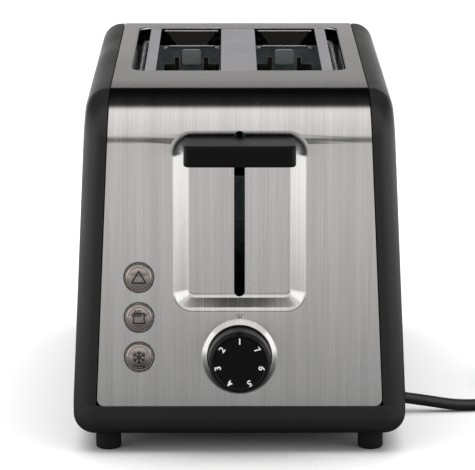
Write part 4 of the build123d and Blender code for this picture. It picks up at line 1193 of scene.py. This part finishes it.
class TOASTER_OT_base(bpy.types.Operator):
    """Mould the base tub with its cord pocket and feet"""

    bl_idname = "toaster.base"
    bl_label = "Base and feet"

    def execute(self, context):
        housing = context.scene.toaster_housing
        low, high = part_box("base_tub")
        tub = rounded_block("base_tub_skin", low, high, housing.base_corner, 12)
        edit(tub)
        pick("EDGE", lambda middle, along: middle.z < low.z + TINY)
        round_edges(housing.base_round, 10)
        wall = housing.base_wall
        floor_z = low.z + wall
        pick("FACE", lambda middle, normal: normal.z > 0.9 and middle.z > high.z - TINY)
        bpy.ops.mesh.inset(thickness=wall, depth=0)
        bpy.ops.mesh.extrude_region_move(TRANSFORM_OT_translate={"value": (0, 0, floor_z - high.z)})
        pick(
            "EDGE",
            lambda middle, along: abs(middle.z - floor_z) < TINY
            and (abs(middle.x) > high.x - 0.012 or not low.y + 0.012 < middle.y < high.y - 0.012),
        )
        round_edges(housing.base_round - wall, 8)
        pick(
            "EDGE",
            lambda middle, along: middle.z > high.z - TINY
            and (
                abs(middle.x) > high.x - wall * 0.5
                or not low.y + wall * 0.5 < middle.y < high.y - wall * 0.5
            ),
        )
        round_edges(0.0004, 2)
        bare()
        roof = 0.020
        depth = front_y(housing) + CORD_DEPTH
        pocket_wall = block(
            "pocket_wall",
            (0.0435, depth - 0.0115, low.z + 0.0005),
            (high.x - 0.003, depth + 0.0115, roof + 0.0025),
        )
        end = (high.x + 0.01, depth + 0.009, roof)
        pocket = block("pocket_cutter", (0.046, depth - 0.009, low.z - 0.01), end)
        again = copied(pocket, "pocket_cutter_again")
        cut(tub, pocket)
        cut(pocket_wall, again)
        tray_low, tray_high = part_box("crumb_tray")
        play = 0.0006
        mouth = block(
            "mouth_cutter",
            (tray_low.x - play, high.y - 0.012, tray_low.z - play),
            (tray_high.x + play, high.y + 0.01, tray_high.z + play),
        )
        cut(tub, mouth)
        gather(tub, pocket_wall)
        smooth(tub, 32)
        hand_over(tub, "housing", "base_plastic", "base_tub")
        profile = [(0.0015, 0.0009), (0.0028, 0.0009), (0.0028, 0.0), (0.0046, 0.0)]
        profile += arc((0.00475, 0.0015), 0.0015, -pi / 2, 0, 5)
        profile += [(0.00625, 0.0078), (0.0060, 0.0090), (0.0015, 0.0090), (0.0015, 0.0009)]
        for node in sorted(name for name in frame["nodes"] if name.startswith("foot_")):
            foot = lathe(f"{node}_rubber", profile, 40)
            spot = sum(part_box(node), Vector()) / 2
            settle(foot, Matrix.Translation((spot.x, spot.y, 0)))
            smooth(foot)
            hand_over(foot, "housing", "rubber_foot", node)
        return {"FINISHED"}


# ------------------------------------------------------------------ toasting chamber


def bar(name, low, high, finish, *nodes):
    """A small housing part with softened edges."""
    piece = block(name, low, high)
    edit(piece)
    bpy.ops.mesh.select_all(action="SELECT")
    round_edges(min(Vector(high) - Vector(low)) * 0.25, 2)
    bare()
    smooth(piece)
    return hand_over(piece, "housing", finish, *nodes)


def bread_flap(name, place, top_half, low_half, long, thick):
    """A flap that narrows downwards, with its top corner rolled."""
    flap = block(name, (-top_half, 0, -long), (top_half, thick, 0))
    edit(flap)
    pick("VERT", lambda spot, normal: spot.z < -TINY)
    bpy.ops.transform.resize(value=(low_half / top_half, 1, 1), center_override=(0, 0, -long))
    bare()
    rim = drum(f"{name}_rim", 0.0005, -top_half, top_half, 16)
    settle(rim, Matrix.Translation((0, 0, -0.0011)) @ Matrix.Rotation(pi / 2, 4, "Y"))
    smooth(rim)
    return settle(flap, place), settle(rim, place)


class TOASTER_OT_chamber(bpy.types.Operator):
    """Bend the bread flaps, trim the end plates and coil the lift spring"""

    bl_idname = "toaster.chamber"
    bl_label = "Toasting chamber"

    def execute(self, context):
        housing = context.scene.toaster_housing
        slot_x, top_half, low_half, thick = housing.slot_x, 0.0148, 0.0076, 0.0005
        for node, run in (("bread_guide_rear", 1), ("bread_guide_front", -1)):
            low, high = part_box(node)
            lean = atan2(run * (high.y - low.y - thick), high.z - low.z)
            top_y = low.y if run > 0 else high.y - thick
            flaps, rims = [], []
            for side in (-1, 1):
                place = Matrix.Translation((side * slot_x, top_y, high.z)) @ Matrix.Rotation(lean, 4, "X")
                flap, rim = bread_flap(node, place, top_half, low_half, high.z - low.z, thick)
                flaps.append(flap)
                rims.append(rim)
            flap = gather(*flaps)
            flap.name = f"{node}_flaps"
            smooth(flap)
            hand_over(flap, "housing", "flap_steel", node)
            rim = gather(*rims)
            rim.name = f"{node}_rims"
            hand_over(rim, "housing", "rolled_edge")
        plate_low, plate_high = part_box("rear_plate")
        front = plate_low.y
        for i, side in enumerate((-1, 1)):
            middle = side * slot_x
            pad = rounded_plate(f"rear_pad_{i + 1}", 0.0051, 0.0043, 0.0014, 6)
            edit(pad)
            bpy.ops.mesh.select_all(action="SELECT")
            bpy.ops.mesh.inset(thickness=0.0004, depth=0.0003)
            bare()
            facing = Matrix.Rotation(pi / 2, 4, "X")
            settle(pad, Matrix.Translation((middle, front - 0.0001, 0.1608)) @ facing)
            smooth(pad, 60)
            hand_over(pad, "housing", "pad_steel")
            top = plate_high.z
            start = (middle - 0.0125, front - 0.0004, top - 0.0006)
            end = (middle + 0.0125, front + 0.0012, top + 0.0003)
            bar(f"plate_edge_{i + 1}", start, end, "rolled_edge")
            for j, out in enumerate((-1, 1)):
                clip = middle + out * 0.0143
                start = (clip - 0.0012, front - 0.0012, top - 0.0016)
                end = (clip + 0.0012, front, top - 0.0002)
                bar(f"plate_clip_{i + 1}_{j + 1}", start, end, "rolled_edge")
        low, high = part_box("lift_spring")
        middle = (low + high) / 2
        wire, turns = 0.0005, 17
        radius = (high.x - low.x) / 2 - wire
        bare()
        bpy.ops.mesh.primitive_circle_add(
            vertices=8, radius=wire, location=(radius, 0, 0), rotation=(pi / 2, 0, 0)
        )
        spring = settle(named("lift_spring_coil"))
        pitch = (high.z - low.z - 2 * wire) / turns
        modify(
            spring,
            "SCREW",
            angle=2 * pi,
            screw_offset=pitch,
            iterations=turns,
            steps=20,
            render_steps=20,
            axis="Z",
        )
        settle(spring, Matrix.Translation((middle.x, middle.y, low.z + wire)))
        smooth(spring, 60)
        spring.data.materials.clear()
        spring.data.materials.append(bpy.data.materials["spring_steel"])
        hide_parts("lift_spring")
        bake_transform(spring)
        bare()
        return {"FINISHED"}


# ------------------------------------------------------------------ controls


class TOASTER_OT_lever(bpy.types.Operator):
    """Mould the lever's handle"""

    bl_idname = "toaster.lever"
    bl_label = "Lever handle"

    def execute(self, context):
        low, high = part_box("lever_handle")
        grip = block("lever_grip", low, high)
        edit(grip)
        pick("EDGE", lambda middle, along: abs(along.z) > 0.9 and middle.y < low.y + TINY)
        round_edges(0.0030, 8)
        pick(
            "EDGE",
            lambda middle, along: abs(along.z) < 0.1
            and middle.y < high.y - TINY
            and (middle.z > high.z - TINY or middle.z < low.z + TINY),
        )
        round_edges(0.0012, 5)
        bare()
        arm_low, arm_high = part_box("lever_arm")
        cut(grip, block("arm_cutter", arm_low, (arm_high.x, high.y + 0.01, arm_high.z)))
        smooth(grip)
        hand_over(grip, "carriage", "control_plastic", "lever_handle")
        return {"FINISHED"}


def written(name, text, size, thickness=0.00004):
    """Raised lettering as a mesh, centred on the local origin."""
    bare()
    bpy.ops.object.text_add()
    label = named(name)
    label.data.body = text
    label.data.size = size
    label.data.align_x = "CENTER"
    label.data.align_y = "CENTER"
    label.data.extrude = thickness
    label.data.offset = size * 0.02
    activate(label)
    bpy.ops.object.convert(target="MESH")
    return named(name)


class TOASTER_OT_knob(bpy.types.Operator):
    """Turn the browning knob and number it"""

    bl_idname = "toaster.knob"
    bl_label = "Browning knob"

    def execute(self, context):
        housing, controls = context.scene.toaster_housing, context.scene.toaster_controls
        reach, face, radius = controls.knob_reach, controls.knob_face, controls.knob_radius
        profile = [(0, reach - 0.0006), (face - 0.0011, reach - 0.0006), (face - 0.0007, reach - 0.0002)]
        profile += arc((face - 0.0002, reach - 0.0005), 0.0005, radians(120), radians(20), 4)
        profile += [(radius - 0.0001, reach - 0.0032)]
        profile += [(radius, reach - 0.0040), (radius, -0.0008), (0, -0.0008)]
        knob = lathe("browning_knob_skin", profile, 96)
        place = on_panel(housing, 0, controls.knob_z)
        settle(knob, place)
        smooth(knob, 30)
        hand_over(knob, "knob", "control_plastic", "browning_knob")
        for i in range(controls.numerals):
            numeral = written(f"knob_numeral_{i + 1}", str(i + 1), 0.0044)
            turn = Matrix.Rotation(2 * pi * i / controls.numerals, 4, "Z")
            ring = Matrix.Translation((0, face * 0.80, reach - 0.00055))
            settle(numeral, place @ turn @ ring)
            hand_over(numeral, "knob", "white_ink")
        return {"FINISHED"}


def ring_stroke(name, corners, width, closed=True):
    """A drawn line of even width through points on the local plane, as a thin mesh."""
    ends = [Vector(corner[:2]) for corner in corners]
    pairs = list(zip(ends, ends[1:] + ends[:1])) if closed else list(zip(ends, ends[1:]))
    spots = [start.lerp(end, i / 8) for start, end in pairs for i in range(8)]
    if not closed:
        spots.append(ends[-1])
    line = bpy.data.curves.new(name, "CURVE")
    line.dimensions = "3D"
    spline = line.splines.new("POLY")
    spline.points.add(len(spots) - 1)
    for point, (x, y) in zip(spline.points, spots):
        point.co = (x, y, 0, 1)
    spline.use_cyclic_u = closed
    line.bevel_depth = width / 2
    line.bevel_resolution = 1
    stroke = bpy.data.objects.new(name, line)
    bpy.context.scene.collection.objects.link(stroke)
    activate(stroke)
    bpy.ops.object.convert(target="MESH")
    return named(name)


def cancel_icon():
    """An outlined triangle."""
    corners = [(0, 0.0024), (0.0024, -0.0017), (-0.0024, -0.0017)]
    return [ring_stroke("cancel_icon", corners, 0.00055)]


def reheat_icon():
    """A slice of bread with steam."""
    slice_line = [(-0.0019, -0.0018), (0.0019, -0.0018), (0.0017, 0.0004), (0.0022, 0.0010), (0.0016, 0.0016)]
    slice_line += [(-0.0016, 0.0016), (-0.0022, 0.0010), (-0.0017, 0.0004)]
    strokes = [ring_stroke("bread_icon", slice_line, 0.00048)]
    for i in range(3):
        x = -0.0013 + i * 0.0008
        wave = [(x, 0.0004), (x + 0.0003, 0.0012), (x - 0.0001, 0.0020), (x + 0.0002, 0.0028)]
        strokes.append(ring_stroke("steam_icon", wave, 0.00042, False))
    return strokes


def defrost_icon():
    """A snowflake over a small drip line."""
    strokes = []
    arms = 6
    for i in range(arms):
        angle = 2 * pi * i / arms + pi / 2
        out, side = Vector((cos(angle), sin(angle))), Vector((-sin(angle), cos(angle)))
        tip = out * 0.0022
        fork = out * 0.0013
        branches = [fork + out * 0.0006 + side * 0.0007, fork + out * 0.0006 - side * 0.0007]
        strokes.append(ring_stroke("flake_icon", [Vector((0, 0)), tip], 0.00046, False))
        strokes.append(ring_stroke("flake_icon", [branches[0], fork, branches[1]], 0.00036, False))
    wave = [(-0.0020 + i * 0.0005, -0.0031 + 0.0003 * sin(i * pi / 2)) for i in range(9)]
    strokes.append(ring_stroke("drip_icon", wave, 0.00030, False))
    return strokes


class TOASTER_OT_buttons(bpy.types.Operator):
    """Turn the three smoked push buttons and mark them"""

    bl_idname = "toaster.buttons"
    bl_label = "Push buttons"

    def execute(self, context):
        housing, controls = context.scene.toaster_housing, context.scene.toaster_controls
        radius = controls.button_radius
        rise, top = 0.0016, 0.0022
        dome = (radius**2 + rise**2) / (2 * rise)
        spread_angle = asin((radius - 0.0005) / dome)
        profile = [(0, -0.0082), (0.002, -0.0082), (0.002, -0.0054), (0.0082, -0.0054), (0.0082, -0.0043)]
        profile += [(radius, -0.0043), (radius, top - rise - 0.0005)]
        ring = radius * 0.84
        profile += arc((0, top - dome), dome, pi / 2 - spread_angle, pi / 2 - asin(ring / dome), 3)
        groove = top - dome + sqrt(dome**2 - ring**2) - 0.0003
        profile += [(ring - 0.0001, groove), (ring - 0.0004, groove)]
        profile += arc((0, top - dome), dome, pi / 2 - asin((ring - 0.0005) / dome), pi / 2, 9)
        for name, height, icon in zip(
            ("cancel", "reheat", "defrost"), controls.button_zs, (cancel_icon, reheat_icon, defrost_icon)
        ):
            place = on_panel(housing, controls.button_x, height)
            button = settle(lathe(f"button_{name}_cap", profile, 64), place)
            smooth(button, 30)
            hand_over(button, f"{name}_button", "smoked_chrome", f"button_{name}")
            strokes = icon()
            mark = gather(strokes[0], *strokes[1:]) if len(strokes) > 1 else strokes[0]
            mark.name = f"{name}_mark"
            wrap_to_dome(mark, top, dome)
            settle(mark, place)
            hand_over(mark, f"{name}_button", "dark_ink")
        return {"FINISHED"}


def wrap_to_dome(mark, top, dome):
    """Enlarges a flat mark and lays it on a button's dome, a hair proud of it."""
    activate(mark)
    edit(mark)
    bpy.ops.mesh.select_all(action="SELECT")
    bpy.ops.transform.resize(value=(1.45, 1.45, 0.2), center_override=(0, 0, 0))
    bare()
    for corner in mark.data.vertices:
        fall = dome - sqrt(dome**2 - corner.co.x**2 - corner.co.y**2)
        corner.co.z += top - fall + 0.00008


# ------------------------------------------------------------------ panel, registration and main


class TOASTER_PT_sidebar(bpy.types.Panel):
    """The toaster's pieces and sizes"""

    bl_idname = "TOASTER_PT_sidebar"
    bl_label = "Pop Up Toaster"
    bl_space_type = "VIEW_3D"
    bl_region_type = "UI"
    bl_category = "Toaster"

    def draw(self, context):
        layout = self.layout
        for operator in OPERATORS:
            layout.operator(operator.bl_idname)
        for key in GROUPS:
            sizes = getattr(context.scene, key)
            box = layout.box()
            for name in sizes.bl_rna.properties.keys():
                if name not in {"rna_type", "name"}:
                    box.prop(sizes, name)


OPERATORS = (
    TOASTER_OT_finishes,
    TOASTER_OT_stage,
    TOASTER_OT_mains_cord,
    TOASTER_OT_steel_wrap,
    TOASTER_OT_side_panels,
    TOASTER_OT_base,
    TOASTER_OT_chamber,
    TOASTER_OT_lever,
    TOASTER_OT_knob,
    TOASTER_OT_buttons,
)


def register():
    for kind in (*GROUPS.values(), *OPERATORS, TOASTER_PT_sidebar):
        bpy.utils.register_class(kind)
    for key, kind in GROUPS.items():
        setattr(bpy.types.Scene, key, PointerProperty(type=kind))


def unregister():
    for key in GROUPS:
        delattr(bpy.types.Scene, key)
    for kind in reversed((*GROUPS.values(), *OPERATORS, TOASTER_PT_sidebar)):
        bpy.utils.unregister_class(kind)


def main():
    register()
    for operator in OPERATORS:
        group, name = operator.bl_idname.split(".")
        getattr(getattr(bpy.ops, group), name)()


if __name__ == "__main__":
    main()
